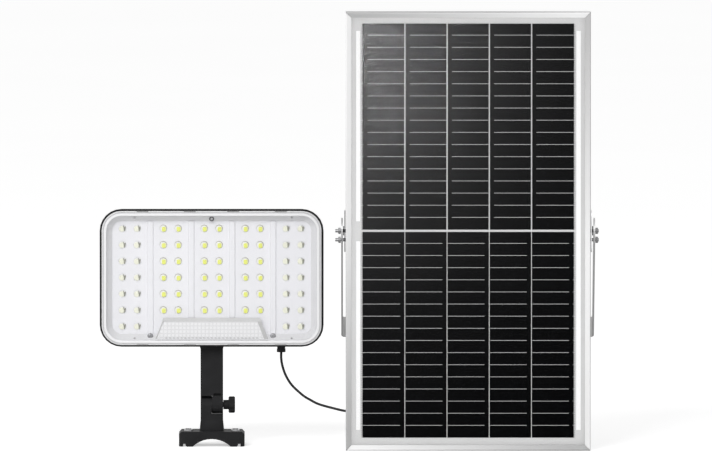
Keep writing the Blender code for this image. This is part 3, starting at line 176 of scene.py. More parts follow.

# Sensor window: half widths of its upper and lower edge, and the sizes and greys of its trim and teeth
# The trim's grey along the top and left and the wider, darker strip on the right are painted shade on the
# window's bevel
WINDOW_TOP = 0.0426
WINDOW_BOTTOM = 0.05
TRIM_EDGE = 0.0005
TRIM_BAND = 0.0028
TRIM_LEFT = 0.0008
TRIM_RIGHT = 0.0034
TRIM_LEVELS = (0.0006, -0.0003)
TOOTH_WIDTH = 0.0017
TOOTH_HEIGHT = 0.0011
TOOTH_RISE = 0.0019
WINDOW_SHADE_AND_TEETH_GREYS = {"window_trim": 0.64, "window_side": 0.52, "window_teeth": 0.6}

# Screw heads: sides, and the cross recess at its mouth and floor as (level, reach, width), where the level
# is a share of the head's height and the others are shares of its radius
SCREW_SIDES = 20
RECESS = ((1.2, 0.66, 0.3), (0.3, 0.4, 0.2))

# Screws as (radius, height), and where they sit
BACK_SCREW = (0.0026, 0.0013)
BACK_SCREW_X = 0.079
BACK_SCREW_Z = 0.041
PLATE_SCREW = (0.0025, 0.0014)
LID_SCREW = (0.0022, 0.0012)
LID_SCREW_INSET = 0.005

# Sections of turned rings as (level, radius): round the button and the status light, and in the knuckle
BUTTON_RING = ((0.0, 0.0084), (0.0008, 0.008), (0.0008, 0.0067), (0.0, 0.0063))
STATUS_RING = ((0.0036, 0.0022), (0.0018, 0.0022), (0.0014, 0.0018), (0.0016, 0.0011), (0.0036, 0.0011))
KNUCKLE_WASHER = ((-0.0001, 0.0028), (0.0001, 0.0028), (0.0001, 0.0074), (-0.0001, 0.0074))

# Slots in the foot, and the liners in them with their levels from the foot's top
FOOT_HEIGHT = 0.0133
SLOT_X = 0.0209
SLOT_WIDTH = 0.0052
SLOT_LENGTH = 0.016
SLOT_CORNER = 0.0023
LINER_WALL = 0.0011
LINER_LEVELS = (-0.001, 0.0012)

# Nut of the junction box's gland, as shares of the gland's height and radius
GLAND_NUT = ((0.16, 1.12), (0.42, 1.12), (0.47, 1.0))

# Head and tail of the coil's tie, as shares of its half width and its height
TIE_HEAD_WIDTH = 2.4
TIE_HEAD_HEIGHT = 0.35
TIE_TAIL_WIDTH = 1.2

# Painted shade: greys of the bracket at its left and right, and tones of the two ears, the left ear shaded
# and the right one lit
BRACKET_PAINTED_SHADES = (0.45, 0.55)
EAR_PAINTED_SHADES = (("left", (0.06, 0.06, 0.065)), ("right", (0.75, 0.75, 0.76)))

# Lamps: place, the point that each is aimed at, and its width and height
KEY_LAMP = ((-0.9, -2.4, 1.74), (0.0, 0.0, 0.18), (1.4, 1.2))
FILL_LAMP = ((1.6, -1.3, 0.9), (0.0, 0.0, 0.18), (1.0, 1.2))
SHEEN_LAMP = ((-0.1345, -1.045, 0.307), (0.106, -0.05, 0.25), (0.356, 0.15))
RECESS_LAMP = ((0.1, -0.9, 0.12), (0.1, -0.04, 0.12), (0.4, 0.2))

# How the names start of what a lamp is linked to: cells and their edges, and ribbons and the sheet behind
CELL_FACES = ("solar_cell", "cell_edges")
RECESSED = ("bus_ribbon", "backsheet")

# Half the width of the floor
FLOOR_HALF = 8.0

# Route of the lead from the mouth of the lamp gland, down and behind the panel to the coil
LEAD_ROUTE = (
    (0.0, 0.0, 0.0),
    (0.0, 0.0, -0.0050),
    (0.0009, 0.0, -0.0113),
    (0.0039, -0.0005, -0.0202),
    (0.0094, -0.0015, -0.0290),
    (0.0189, -0.0035, -0.0378),
    (0.0259, -0.0050, -0.0421),
    (0.0347, -0.0070, -0.0462),
    (0.0524, -0.0110, -0.0506),
    (0.0573, -0.0122, -0.0515),
    (0.0750, -0.0175, -0.0552),
    (0.0950, -0.0248, -0.0605),
    (0.1120, -0.0325, -0.0663),
    (0.1240, -0.0370, -0.0706),
)

# Route of the riser from the mouth of the junction box gland down to the floor
RISER_ROUTE = (
    (0.0, 0.0, 0.0),
    (0.0, 0.0, -0.0080),
    (0.0008, 0.0020, -0.0300),
    (0.0016, 0.0055, -0.0600),
    (0.0018, 0.0090, -0.0900),
    (0.0005, 0.0110, -0.1160),
    (-0.0040, 0.0118, -0.1350),
    (-0.0130, 0.0120, -0.1480),
    (-0.0250, 0.0120, -0.1555),
)


# Settings
def length(name, description, default):
    """A size in metres."""
    return FloatProperty(name=name, description=description, default=default, unit="LENGTH", precision=5)


def power(name, description, default):
    """A lamp's power in watts."""
    return FloatProperty(name=name, description=description, default=default, unit="POWER")


def amount(name, description, default):
    """A plain number above 0."""
    return FloatProperty(name=name, description=description, default=default, min=0.01)


def number(name, description, default):
    """How many there are of something."""
    return IntProperty(name=name, description=description, default=default, min=1)


def colour(name, description, default):
    """A colour in linear light."""
    return FloatVectorProperty(
        name=name, description=description, default=default, subtype="COLOR", min=0.0, max=1.0
    )


class FloodlightStageSettings(PropertyGroup):
    """Camera, light and ground."""

    view_elevation: FloatProperty(
        name="View Elevation",
        description="How far above the horizon the camera stands",
        default=math.radians(4),
        subtype="ANGLE",
    )
    view_distance: length("View Distance", "From the camera to the panel's front", 18.0)
    view_width: length("View Width", "Width of the picture at the panel's front", PHOTO_WIDTH * PIXEL)
    view_across: length("View Across", "Picture's middle from the panel's middle", -0.09964)
    view_z: length("View Z", "Height of the picture's middle on the panel's front", 0.19143)
    sky_strength: amount("Sky", "Strength of the even light", 0.5)
    floor_glow: amount("Floor Glow", "How far the floor is lifted to white", 0.5)
    key_power: power("Key", "Upper left lamp", 44.5)
    fill_power: power("Fill", "Right hand lamp", 1.0)
    sheen_power: power("Sheen", "Lamp that shines on the cells alone", 108.0)
    recess_power: power("Recess", "Lamp on the sheet and the ribbons behind the glass", 3.8)
    ground: colour("Ground", "Colour of the floor", (0.93, 0.93, 0.93))


class FloodlightFinishSettings(PropertyGroup):
    """Colours of the surfaces."""

    black: colour("Moulded Black", "Housing, arm, foot, knob and junction box", (0.0215, 0.0215, 0.0225))
    rubber: colour("Rubber Black", "Cord, glands, washers, button and tie", (0.008, 0.008, 0.009))
    silicone: colour("Silicone", "Seal under the cover", (0.74, 0.74, 0.75))
    white: colour("Reflector White", "Plate behind the LEDs", (0.855, 0.855, 0.885))
    # The slope's grey, darker than the plate's white, is painted shade
    slope: colour("Reflector Slope", "Sloped wall round the plate", (0.72, 0.72, 0.735))
    lens: colour("Sensor Lens", "Milky lens of the motion sensor", (0.88, 0.88, 0.89))
    steel: colour("Plated Steel", "Screws of housing, arm and lid, and clamp nut", (0.36, 0.36, 0.37))
    silicon: colour("Silicon", "Solar cells and their edges", (0.001, 0.0011, 0.0014))
    ribbon: colour("Tinned Ribbon", "Bus ribbons beside the cells", (0.96, 0.96, 0.96))
    busbar: colour("Busbar", "Busbars on the cells", (0.76, 0.76, 0.76))
    comb: colour("Comb", "Cut edges between cells and ribbons", (0.62, 0.62, 0.62))
    backsheet: colour("Backsheet", "White sheet behind the cells", (0.66, 0.66, 0.66))
    phosphor: colour("Phosphor", "Chips of the inner LEDs", (0.88, 0.94, 0.11))
    resin: colour("Resin", "Pale resin round the chips of the inner LEDs", (0.95, 0.95, 0.84))
    pale_chip: colour("Pale Chip", "Chips of the outer LEDs", (0.96, 0.97, 0.76))
    # The dark side of the outer LEDs is painted shade
    shade: colour("LED Shade", "Dark side of the outer LEDs", (0.24, 0.245, 0.18))
    # Painted shade along the upper right edge of each inner LED's dome
    collar: colour("LED Collar", "Upper right edge of the inner LEDs", (0.42, 0.41, 0.33))


class FloodlightLampSettings(PropertyGroup):
    """LED pattern and lamp details."""

    groups: number("LED Groups", "Groups of LEDs across the head", 5)
    rows: number("LED Rows", "Rows in the outer groups", 7)
    window_rows: number("Rows over Window", "Rows in the inner groups", 6)
    group_pitch: length("Group Pitch", "From group to group", 0.03644)
    pair_pitch: length("Pair Pitch", "Between a group's two columns", 0.0132)
    row_pitch: length("Row Pitch", "From row to row", 0.01456)
    dome_radius: length("Dome Radius", "Radius of an LED's clear dome", 0.0034)
    dome_height: length("Dome Height", "Height of an LED's clear dome", 0.0036)
    chip_width: length("Chip Width", "Width of an inner LED's chip", 0.0034)
    chip_height: length("Chip Height", "Height of an inner LED's chip", 0.0041)
    chip_right: length("Chip Right", "How far a chip sits right of its dome's middle", 0.0004)
    chip_down: length("Chip Down", "How far a chip sits below its dome's middle", 0.0006)
    cup_radius: length("Cup Radius", "Radius of the white cup under a dome", 0.0034)
    board_thickness: length("Board Thickness", "Thickness of the LED board", 0.0016)
    window_grid: length("Window Grid", "Pitch of the squares in the sensor window", 0.00337)
    head_corner: length("Head Corner", "Radius of the head's corners", 0.0195)
    head_depth: length("Head Depth", "From the rim's front to the flat of the back", 0.033)
    cover_inset: length("Cover Inset", "From the head's edge to the cover", 0.0018)
    cover_wall: length("Cover Wall", "Thickness of the cover", 0.002)
    cover_proud: length("Cover Proud", "How far the cover stands out of the rim", 0.004)
    cover_skirt: length("Cover Skirt", "How deep the cover reaches into the rim", 0.006)
    cover_edge: length("Cover Edge", "Radius of the cover's round edge", 0.0007)
    cover_rim: length("Cover Rim", "From the head's edge to the clear pane", 0.0058)
    groove_inset: length("Groove Inset", "From the head's edge to the cover's groove", 0.0026)
    groove_width: length("Groove Width", "Width of the cover's groove", 0.0011)
    groove_depth: length("Groove Depth", "Depth of the cover's groove", 0.0004)
    slope_inset: length("Slope Inset", "From the head's edge to the sloped wall", 0.0059)
    slope_width: length("Slope Width", "Width of the sloped wall", 0.0053)
    slope_front: length("Slope Front", "Depth of the sloped wall's front edge", 0.0006)
    slope_depth: length("Slope Depth", "How far the sloped wall runs back", 0.0049)


class FloodlightPanelSettings(PropertyGroup):
    """Wiring that shows in the solar panel."""

    busbars: number("Busbars", "Busbars on each cell", 16)
    busbar_pitch: length("Busbar Pitch", "From busbar to busbar", 0.01081)
    busbar_rise: length("Busbar Rise", "How far a cell's busbars lie above its middle", 0.00083)
    busbar_width: length("Busbar Width", "Width of a busbar", 0.0003)
    busbar_stop: length("Busbar Stop", "How far a busbar stops short of its cell's edge", 0.0036)
    busbar_thickness: length("Busbar Thickness", "Thickness of a busbar", 0.0001)
    cell_edge: length("Cell Edge", "Width of the dark edge along a lower cell's sides", 0.0003)
    cell_edge_upper: length("Upper Cell Edge", "Width of the dark edge along an upper cell's sides", 0.0001)
    cell_rim: length("Cell Rim", "Width of the dark edge over and beside a row of cells", 0.0008)
    comb_width: length("Comb Width", "Width of the comb between cells and ribbon", 0.0006)
    comb_pitch: length("Comb Pitch", "From tick to tick of the comb", 0.0016)
    ribbon_top: length("Ribbon Top", "How far a ribbon's solder tab rises over its upper end", 0.002)
    ribbon_foot: length("Ribbon Foot", "How far a ribbon's solder tab drops under its lower end", 0.0007)
    ribbon_spread: length("Ribbon Spread", "Width of the solder beside the right ribbons", 0.0005)


class FloodlightCordSettings(PropertyGroup):
    """The cord and its coil."""

    diameter: length("Diameter", "Thickness of the cord", 0.0022)
    layers: number("Layers", "Layers of the coil", 4)
    layer_turns: number("Turns", "Turns in each layer", 4)
    mean_radius: length("Coil Radius", "Radius at the middle of the turns", 0.0154)
    pitch: length("Turn Pitch", "From turn to turn in a layer", 0.003)
    layer_pitch: length("Layer Pitch", "From layer to layer", 0.00275)
    reversal: amount("Reversal", "Part of a turn before a layer changes", 0.25)
    coil_x: length("Coil X", "Coil's middle from the lamp gland", 0.137)
    coil_y: length("Coil Y", "Coil's middle from the lamp gland", -0.018)
    tie_thickness: length("Tie Thickness", "Thickness of the coil's tie", 0.0008)


SETTINGS = (
    ("floodlight_stage", FloodlightStageSettings),
    ("floodlight_finish", FloodlightFinishSettings),
    ("floodlight_lamp", FloodlightLampSettings),
    ("floodlight_panel", FloodlightPanelSettings),
    ("floodlight_cord", FloodlightCordSettings),
)


# Finishes
class Finish:
    """A material under way: its Principled shader and short calls that add texture to it."""

    def __init__(self, name, base, roughness, metallic=0.0, specular=0.5):
        self.material = bpy.data.materials.new(name)
        self.material.use_nodes = True
        self.material.diffuse_color = (*base[:3], 1.0)
        self.tree = self.material.node_tree
        self.shader = self.tree.nodes["Principled BSDF"]
        self.set("Base Color", (*base[:3], 1.0))
        self.set("Roughness", roughness)
        self.set("Metallic", metallic)
        self.set("Specular IOR Level", specular)
        self.base = tuple(base[:3])
        self.roughness = roughness
        self.place = self.add("ShaderNodeTexCoord").outputs["Object"]

    def set(self, socket, value):
        """Give one of the shader's sockets a fixed value."""
        self.shader.inputs[socket].default_value = value

    def add(self, kind, **values):
        """A new node with its plain settings."""
        node = self.tree.nodes.new(kind)
        for key, value in values.items():
            setattr(node, key, value)
        return node

    def link(self, source, target):
        """Join two sockets."""
        self.tree.links.new(source, target)

    def stretch(self, scale):
        """The surface's own place, scaled along each axis."""
        node = self.add("ShaderNodeMapping")
        node.inputs["Scale"].default_value = scale
        self.link(self.place, node.inputs["Vector"])
        return node.outputs["Vector"]

    def noise(self, scale, detail=2.0, place=None):
        """Cloudy noise with features about 1 / scale metres across."""
        node = self.add("ShaderNodeTexNoise")
        node.inputs["Scale"].default_value = scale
        node.inputs["Detail"].default_value = detail
        self.link(place or self.place, node.inputs["Vector"])
        return node.outputs["Fac"]

    def ramp(self, factor, low, high, start=0.3, end=0.7):
        """A colour that runs from low to high as the factor rises."""
        node = self.add("ShaderNodeValToRGB")
        node.color_ramp.elements[0].position = start
        node.color_ramp.elements[1].position = end
        node.color_ramp.elements[0].color = (*low, 1.0)
        node.color_ramp.elements[1].color = (*high, 1.0)
        self.link(factor, node.inputs["Fac"])
        return node.outputs["Color"]

    def part(self, source, axis):
        """One axis of a place or a normal."""
        node = self.add("ShaderNodeSeparateXYZ")
        self.link(source, node.inputs["Vector"])
        return node.outputs[axis]

    def spread(self, factor, low, high, start=0.0, end=1.0):
        """A number that runs from low to high as the factor runs from start to end."""
        node = self.add("ShaderNodeMapRange")
        node.inputs["From Min"].default_value = start
        node.inputs["From Max"].default_value = end
        node.inputs["To Min"].default_value = low
        node.inputs["To Max"].default_value = high
        self.link(factor, node.inputs["Value"])
        return node.outputs["Result"]

    def mottle(self, factor, change):
        """Let the colour vary by a share either way."""
        low = tuple(max(0.0, part * (1 - change)) for part in self.base)
        high = tuple(min(1.0, part * (1 + change)) for part in self.base)
        self.tint(self.ramp(factor, low, high))

    def tint(self, colour):
        """Take the surface's colour from a socket."""
        self.link(colour, self.shader.inputs["Base Color"])

    def rule(self, lines, tone):
        """Scale the colour by a tone on lines."""
        ruled = tuple(tone * part for part in self.base)
        self.tint(self.ramp(lines, self.base, ruled, 0.0, 1.0))

    def scuff(self, factor, change):
        """Let the roughness vary by a fixed amount either way."""
        result = self.spread(factor, self.roughness - change, self.roughness + change)
        self.link(result, self.shader.inputs["Roughness"])

    def emboss(self, height, strength, distance):
        """Raise the surface by a height map."""
        node = self.add("ShaderNodeBump")
        node.inputs["Strength"].default_value = strength
        node.inputs["Distance"].default_value = distance
        self.link(height, node.inputs["Height"])
        self.link(node.outputs["Normal"], self.shader.inputs["Normal"])

    def stripes(self, axis, pitch, width):
        """1 on lines across an axis, a pitch apart, and 0 between them."""
        turned = self.maths("PINGPONG", self.part(self.place, axis), pitch / 2)
        return self.maths("LESS_THAN", turned, width / 2)

    def maths(self, operation, first, second):
        """One step of arithmetic on a socket and a number or a second socket."""
        node = self.add("ShaderNodeMath", operation=operation)
        self.link(first, node.inputs[0])
        if isinstance(second, float):
            node.inputs[1].default_value = second
        else:
            self.link(second, node.inputs[1])
        return node.outputs["Value"]


def moulded_black(name, base):
    """Black moulded plastic with a fine spark texture."""
    finish = Finish(name, base, 0.5, specular=0.06)
    finish.mottle(finish.noise(60.0), 0.12)
    finish.scuff(finish.noise(240.0), 0.05)
    finish.emboss(finish.noise(1500.0, 3.0), 0.1, 0.00006)
    return finish.material


def soft_black(name, base):
    """Black rubber or cord jacket with a dull bloom."""
    finish = Finish(name, base, 0.52, specular=0.3)
    finish.mottle(finish.noise(120.0), 0.2)
    finish.scuff(finish.noise(400.0), 0.08)
    finish.emboss(finish.noise(1300.0), 0.1, 0.00005)
    return finish.material


def see_through(name, base, alpha, roughness, specular=0.5):
    """Clear moulding or glass, of which only the gloss and a faint haze show."""
    finish = Finish(name, base, roughness, specular=specular)
    finish.set("Alpha", alpha)
    finish.scuff(finish.noise(90.0), 0.4 * roughness)
    return finish.material


def smooth_moulding(name, base):
    """Smooth pale moulding with a soft gloss."""
    finish = Finish(name, base, 0.42, specular=0.35)
    finish.mottle(finish.noise(28.0), 0.015)
    finish.scuff(finish.noise(150.0), 0.05)
    finish.emboss(finish.noise(700.0), 0.015, 0.00004)
    return finish.material


def grid_window(name, base, pitch):
    """Milky lens of the motion sensor with its square grid."""
    finish = Finish(name, base, 0.24, specular=0.4)
    width = pitch / 3
    lines = finish.maths("MAXIMUM", finish.stripes("X", pitch, width), finish.stripes("Z", pitch, width))
    finish.rule(lines, 0.88)
    finish.emboss(lines, 0.2, 0.0002)
    return finish.material


def anodised(name, axis, start, end, fall, light, dark, outward, sign, edge):
    """Satin anodised aluminium with drawing lines; painted shade darkens one end and faces that look
    outward.
    """
    finish = Finish(name, (light, light, light), 0.42, metallic=0.12)
    scale = [8.0 if letter == axis else 2600.0 for letter in "XYZ"]
    lines = finish.noise(1.0, 3.0, finish.stretch(scale))
    along = finish.spread(finish.part(finish.place, axis), 0.0, 1.0, start, end)
    tone = finish.maths("ADD", along, finish.spread(lines, -0.06, 0.06))
    normal = finish.part(finish.place.node.outputs["Normal"], outward)
    outward_shade = finish.spread(normal, 0.0, edge, 0.4 * sign, 0.7 * sign)
    tone = finish.maths("ADD", tone, outward_shade)
    finish.tint(finish.ramp(tone, (light, light, light), (dark, dark, dark), fall, 0.97))
    finish.scuff(lines, 0.06)
    finish.emboss(lines, 0.04, 0.00004)
    return finish.material


def plated_steel(name, base):
    """Zinc plated steel with a cloudy, slightly worn surface."""
    finish = Finish(name, base, 0.36, metallic=0.9)
    finish.mottle(finish.noise(90.0, 4.0), 0.14)
    finish.scuff(finish.noise(260.0, 3.0), 0.1)
    finish.emboss(finish.noise(1400.0), 0.08, 0.00004)
    return finish.material


def graded_steel(name, start, end, dark, light):
    """Zinc plated steel with painted shade that grows lighter across the panel, from one x to another."""
    finish = Finish(name, (light, light, light), 0.4, metallic=0.75)
    across = finish.spread(finish.part(finish.place, "X"), 0.0, 1.0, start, end)
    tone = finish.maths("ADD", across, finish.spread(finish.noise(90.0, 4.0), -0.12, 0.12))
    finish.tint(finish.ramp(tone, (dark, dark, dark), (light, light, light), 0.05, 0.95))
    finish.scuff(finish.noise(260.0, 3.0), 0.1)
    finish.emboss(finish.noise(1400.0), 0.08, 0.00004)
    return finish.material


def dark_silicon(name, base):
    """Blue black silicon with fine upright fingers."""
    finish = Finish(name, base, 0.2137, specular=0.01)
    finish.rule(finish.stripes("X", 0.0013, 0.00012), 1.8)
    finish.scuff(finish.noise(45.0), 0.012)
    return finish.material


def tinned(name, base):
    """Tinned copper, a little uneven from soldering."""
    finish = Finish(name, base, 0.7, specular=0.03)
    finish.mottle(finish.noise(500.0, 3.0), 0.02)
    finish.scuff(finish.noise(900.0), 0.08)
    finish.emboss(finish.noise(1600.0), 0.06, 0.00004)
    return finish.material


def comb_strip(name, base, pitch):
    """Cut edges between the cells and their ribbons, a row of fine ticks."""
    finish = Finish(name, base, 0.6, specular=0.2)
    ticks = finish.stripes("Z", pitch, pitch / 2)
    finish.rule(ticks, 0.55)
    finish.emboss(ticks, 0.2, 0.0001)
    return finish.material


def dull_sheet(name, base):
    """Dull polymer sheet or silicone."""
    finish = Finish(name, base, 0.55, specular=0.3)
    finish.mottle(finish.noise(30.0), 0.02)
    finish.emboss(finish.noise(1100.0), 0.04, 0.00004)
    return finish.material


def powdery_chip(name, base):
    """Powdery phosphor under an LED's dome."""
    finish = Finish(name, base, 0.6, specular=0.2)
    finish.mottle(finish.noise(2600.0, 3.0), 0.08)
    finish.emboss(finish.noise(4200.0), 0.1, 0.00004)
    return finish.material


def coloured_film(name, base):
    """Shrink film or board lacquer, for the pieces inside the head."""
    finish = Finish(name, base, 0.32)
    finish.mottle(finish.noise(180.0, 3.0), 0.1)
    finish.emboss(finish.noise(700.0), 0.08, 0.00005)
    return finish.material


def finish_named(name, make, *values):
    """The material of that name, made once."""
    return bpy.data.materials.get(name) or make(name, *values)


def paint(material, *nodes):
    """Give CAD nodes a finish."""
    for node in nodes:
        for slot in NODES[node].material_slots:
            slot.material = material


# Shapes
def arc(centre, radius, start, end, steps):
    """Points along an arc, both ends included, with angles in degrees."""
    points = []
    for step in range(steps + 1):
        angle = math.radians(start + (end - start) * step / steps)
        points.append((centre[0] + radius * math.cos(angle), centre[1] + radius * math.sin(angle)))
    return points


def circle(radius, sides):
    """A regular outline."""
    return arc((0, 0), radius, 0, 360 - 360 / sides, sides - 1)


def rectangle(width, height):
    """A rectangle about the middle."""
    x = width / 2
    y = height / 2
    return [(x, -y), (x, y), (-x, y), (-x, -y)]


def round_rectangle(width, height, radius, steps):
    """A rectangle with round corners about the middle."""
    points = []
    for corner, (side, end) in enumerate(((1, -1), (1, 1), (-1, 1), (-1, -1))):
        centre = (side * (width / 2 - radius), end * (height / 2 - radius))
        points += arc(centre, radius, 90 * corner - 90, 90 * corner, steps)
    return points


def cross(reach, width):
    """The outline of a screwdriver's cross."""
    a = width / 2
    quarter = [(reach, -a), (reach, a), (a, a)]
    points = []
    for turn in range(4):
        for x, y in quarter:
            for _ in range(turn):
                x, y = -y, x
            points.append((x, y))
    return points


def ring(outline, axis, level, centre):
    """An outline as points in space, at a level along the axis x, y or z, about a centre."""
    points = []
    for u, v in outline:
        offset = {"x": (level, u, v), "y": (u, level, v), "z": (u, v, level)}[axis]
        points.append(Vector(centre) + Vector(offset))
    return points


def loft(bm, loops, closed=False):
    """Faces over loops of vertices, capped at both ends or closed on itself."""
    pairs = list(zip(loops, loops[1:]))
    if closed:
        pairs.append((loops[-1], loops[0]))
    else:
        bm.faces.new(loops[0])
        bm.faces.new(loops[-1])
    for first, second in pairs:
        for here in range(len(first)):
            there = (here + 1) % len(first)
            bm.faces.new((first[here], first[there], second[there], second[here]))


def stack(bm, axis, layers, centre, closed=False):
    """A skin over outlines at levels along an axis, capped or closed on itself."""
    loops = []
    for level, outline in layers:
        loops.append([bm.verts.new(point) for point in ring(outline, axis, level, centre)])
    loft(bm, loops, closed)


def fill(name, bm, angle=35):
    """A mesh of a finished shape, with its faces pointing out."""
    bmesh.ops.recalc_face_normals(bm, faces=bm.faces)
    mesh = bpy.data.meshes.new(name)
    bm.to_mesh(mesh)
    bm.free()
    mesh.shade_smooth()
    mesh.set_sharp_from_angle(angle=math.radians(angle))
    return mesh


def carve(obj, tool):
    """Cut a tool shape out of a piece for good."""
    cutter = bpy.data.objects.new("cutter", fill("cutter", tool))
    bpy.context.scene.collection.objects.link(cutter)
    modifier = obj.modifiers.new("cut", "BOOLEAN")
    modifier.object = cutter
    depsgraph = bpy.context.evaluated_depsgraph_get()
    mesh = bpy.data.meshes.new_from_object(obj.evaluated_get(depsgraph))
    obj.modifiers.clear()
    obj.data = mesh
    bpy.data.objects.remove(cutter)


def piece(name, bm, materials, body, angle=35, tool=None):
    """A piece of the scene from a finished shape, riding on a body."""
    obj = bpy.data.objects.new(name, fill(name, bm, angle))
    bpy.context.scene.collection.objects.link(obj)
    for material in materials:
        obj.data.materials.append(material)
    if tool:
        carve(obj, tool)
    if body:
        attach(obj, body)
    return obj


def middle(node):
    """The middle of a CAD node's box."""
    low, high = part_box(node)
    return (Vector(low) + Vector(high)) / 2


def dome_layers(base, rise, radius, sides, steps, last=80):
    """Layers of a dome that rises from a level by a signed height."""
    layers = []
    for step in range(steps + 1):
        angle = math.radians(last * step / steps)
        layers.append((base + rise * math.sin(angle), circle(radius * math.cos(angle), sides)))
    return layers


def turned(section, sides):
    """Layers of a turned shape, from the levels and radii of its section."""
    return [(level, circle(radius, sides)) for level, radius in section]


def prism(bm, axis, levels, outline, place):
    """A straight solid with one outline between two levels."""
    stack(bm, axis, [(level, outline) for level in levels], place)


def turned_ring(name, section, sides, axis, place, material, body):
    """A ring turned about an axis."""
    bm = bmesh.new()
    stack(bm, axis, turned(section, sides), place, closed=True)
    return piece(name, bm, [material], body)


def flat_strips(strips, depths):
    """Flat strips as (left, right, below, above) between two depths."""
    bm = bmesh.new()
    for left, right, below, above in strips:
        outline = rectangle(right - left, above - below)
        place = ((left + right) / 2, 0, (below + above) / 2)
        prism(bm, "y", depths, outline, place)
    return bm


def cross_screws(name, places, sign, radius, height, material, body):
    """Pan head screws with a cross recess, seated at places and facing along sign y."""
    heads = bmesh.new()
    tool = bmesh.new()
    outline = circle(radius, SCREW_SIDES)
    base = sign * height / 3
    layers = [(0.0, outline), (base, outline)]
    layers += dome_layers(base, 2 * base, radius, SCREW_SIDES, 4, 75)[1:]
    recess = [(level * sign * height, cross(reach * radius, wide * radius)) for level, reach, wide in RECESS]
    for place in places:
        stack(heads, "y", layers, place)
        stack(tool, "y", recess, place)
    return piece(name, heads, [material], body, 40, tool)


# Cords
def smooth_path(points, step):
    """Points a step apart along a smooth curve through the route's points."""
    route = [Vector(point) for point in points]
    route = [2 * route[0] - route[1]] + route + [2 * route[-1] - route[-2]]
    fine = []
    for before, here, there, after in zip(route, route[1:], route[2:], route[3:]):
        for part in range(CURVE_PARTS):
            t = part / CURVE_PARTS
            square = 2 * before - 5 * here + 4 * there - after
            cube = 3 * here - before - 3 * there + after
            fine.append(here + 0.5 * t * (there - before + square * t + cube * t * t))
    fine.append(route[-2])
    lengths = [0.0]
    for first, second in zip(fine, fine[1:]):
        lengths.append(lengths[-1] + (second - first).length)
    count = max(2, round(lengths[-1] / step))
    columns = [np.interp(np.linspace(0, lengths[-1], count + 1), lengths, axis) for axis in zip(*fine)]
    return [Vector(point) for point in zip(*columns)]


def coil_path(cord):
    """The coil from its top outer end to its bottom outer end, spiralling in and out by layers."""
    points = []
    travel = (cord.layer_turns - cord.reversal) * cord.pitch
    outer = cord.mean_radius + travel / 2
    base = cord.tie_thickness + GAP + cord.diameter / 2
    for step in range(cord.layers * cord.layer_turns * COIL_POINTS + 1):
        turn = step / COIL_POINTS
        layer = min(int(turn / cord.layer_turns), cord.layers - 1)
        done = turn - layer * cord.layer_turns
        first = cord.reversal if layer > 0 else 0.0
        last = cord.layer_turns - (cord.reversal if layer < cord.layers - 1 else 0.0)
        spun = min(max(done, first), last)
        inward = spun if layer % 2 == 0 else cord.layer_turns - spun
        radius = outer - cord.pitch * inward
        depth = layer + (done - spun) / (2 * cord.reversal)
        angle = 2 * math.pi * turn - math.pi / 2
        height = base + cord.layer_pitch * (cord.layers - 1 - depth)
        points.append(Vector((radius * math.cos(angle), radius * math.sin(angle), height)))
    along = Vector((cord.diameter, 0, 0))
    return [points[0] - along] + points + [points[-1] + along]


def tube(name, points, diameter, sides, material):
    """A mesh tube along a path, with closed ends and no twist."""
    bm = bmesh.new()
    normal = Vector((0, 1, 0))
    loops = []
    for index, point in enumerate(points):
        ahead = points[min(index + 1, len(points) - 1)]
        behind = points[max(index - 1, 0)]
        along = (ahead - behind).normalized()
        normal = (normal - normal.dot(along) * along).normalized()
        across = along.cross(normal)
        loop = []
        for u, v in circle(diameter / 2, sides):
            loop.append(bm.verts.new(point + u * normal + v * across))
        loops.append(loop)
    loft(bm, loops)
    return piece(name, bm, [material], None, 50)


def gland_mouth(gland):
    """The middle of a gland's lower end, a gap below it."""
    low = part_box(gland)[0]
    centre = middle(gland)
    return Vector((centre.x, centre.y, low[2] - GAP))


def cord_paths(cord):
    """The three stretches of the cord: lead, coil and riser."""
    lead_start = gland_mouth("cable_gland")
    riser_start = gland_mouth("panel_gland")
    centre = Vector((lead_start.x + cord.coil_x, lead_start.y + cord.coil_y, 0))
    coil = [centre + point for point in coil_path(cord)]
    straight = Vector((GAP, 0, 0))
    run = Vector((2 * cord.diameter, 0, 0))
    lead_end = [coil[0] - straight - run, coil[0] - straight]
    riser_end = [coil[-1] + straight + run, coil[-1] + straight]
    step = cord.diameter
    lead = smooth_path([lead_start + Vector(point) for point in LEAD_ROUTE] + lead_end, step)
    riser = smooth_path([riser_start + Vector(point) for point in RISER_ROUTE] + riser_end, step)
    return lead, coil, riser


def declare_cord(node):
    """Hide the CAD node that a tube stands for."""
    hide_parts(node)


class FLOODLIGHT_OT_cords(Operator):
    """Make the lead, the coil and the riser, and finish the glands"""

    bl_idname = "floodlight.cords"
    bl_label = "Cords"

    def execute(self, context):
        cord = context.scene.floodlight_cord
        finish = context.scene.floodlight_finish
        jacket = finish_named("cord_jacket", soft_black, finish.rubber)
        lead, coil, riser = cord_paths(cord)

        lead_piece = tube("lead_cord", lead, cord.diameter, CORD_SIDES, jacket)
        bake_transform(lead_piece)
        declare_cord("cable_lead")
        coil_piece = tube("coiled_cord", coil, cord.diameter, COIL_SIDES, jacket)
        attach(coil_piece, "mounts")
        declare_cord("cable_coil")
        riser_piece = tube("riser_cord", riser, cord.diameter, CORD_SIDES, jacket)
        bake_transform(riser_piece)
        declare_cord("cable_riser")
        paint(jacket, "cable_gland", "panel_gland")
        return {"FINISHED"}


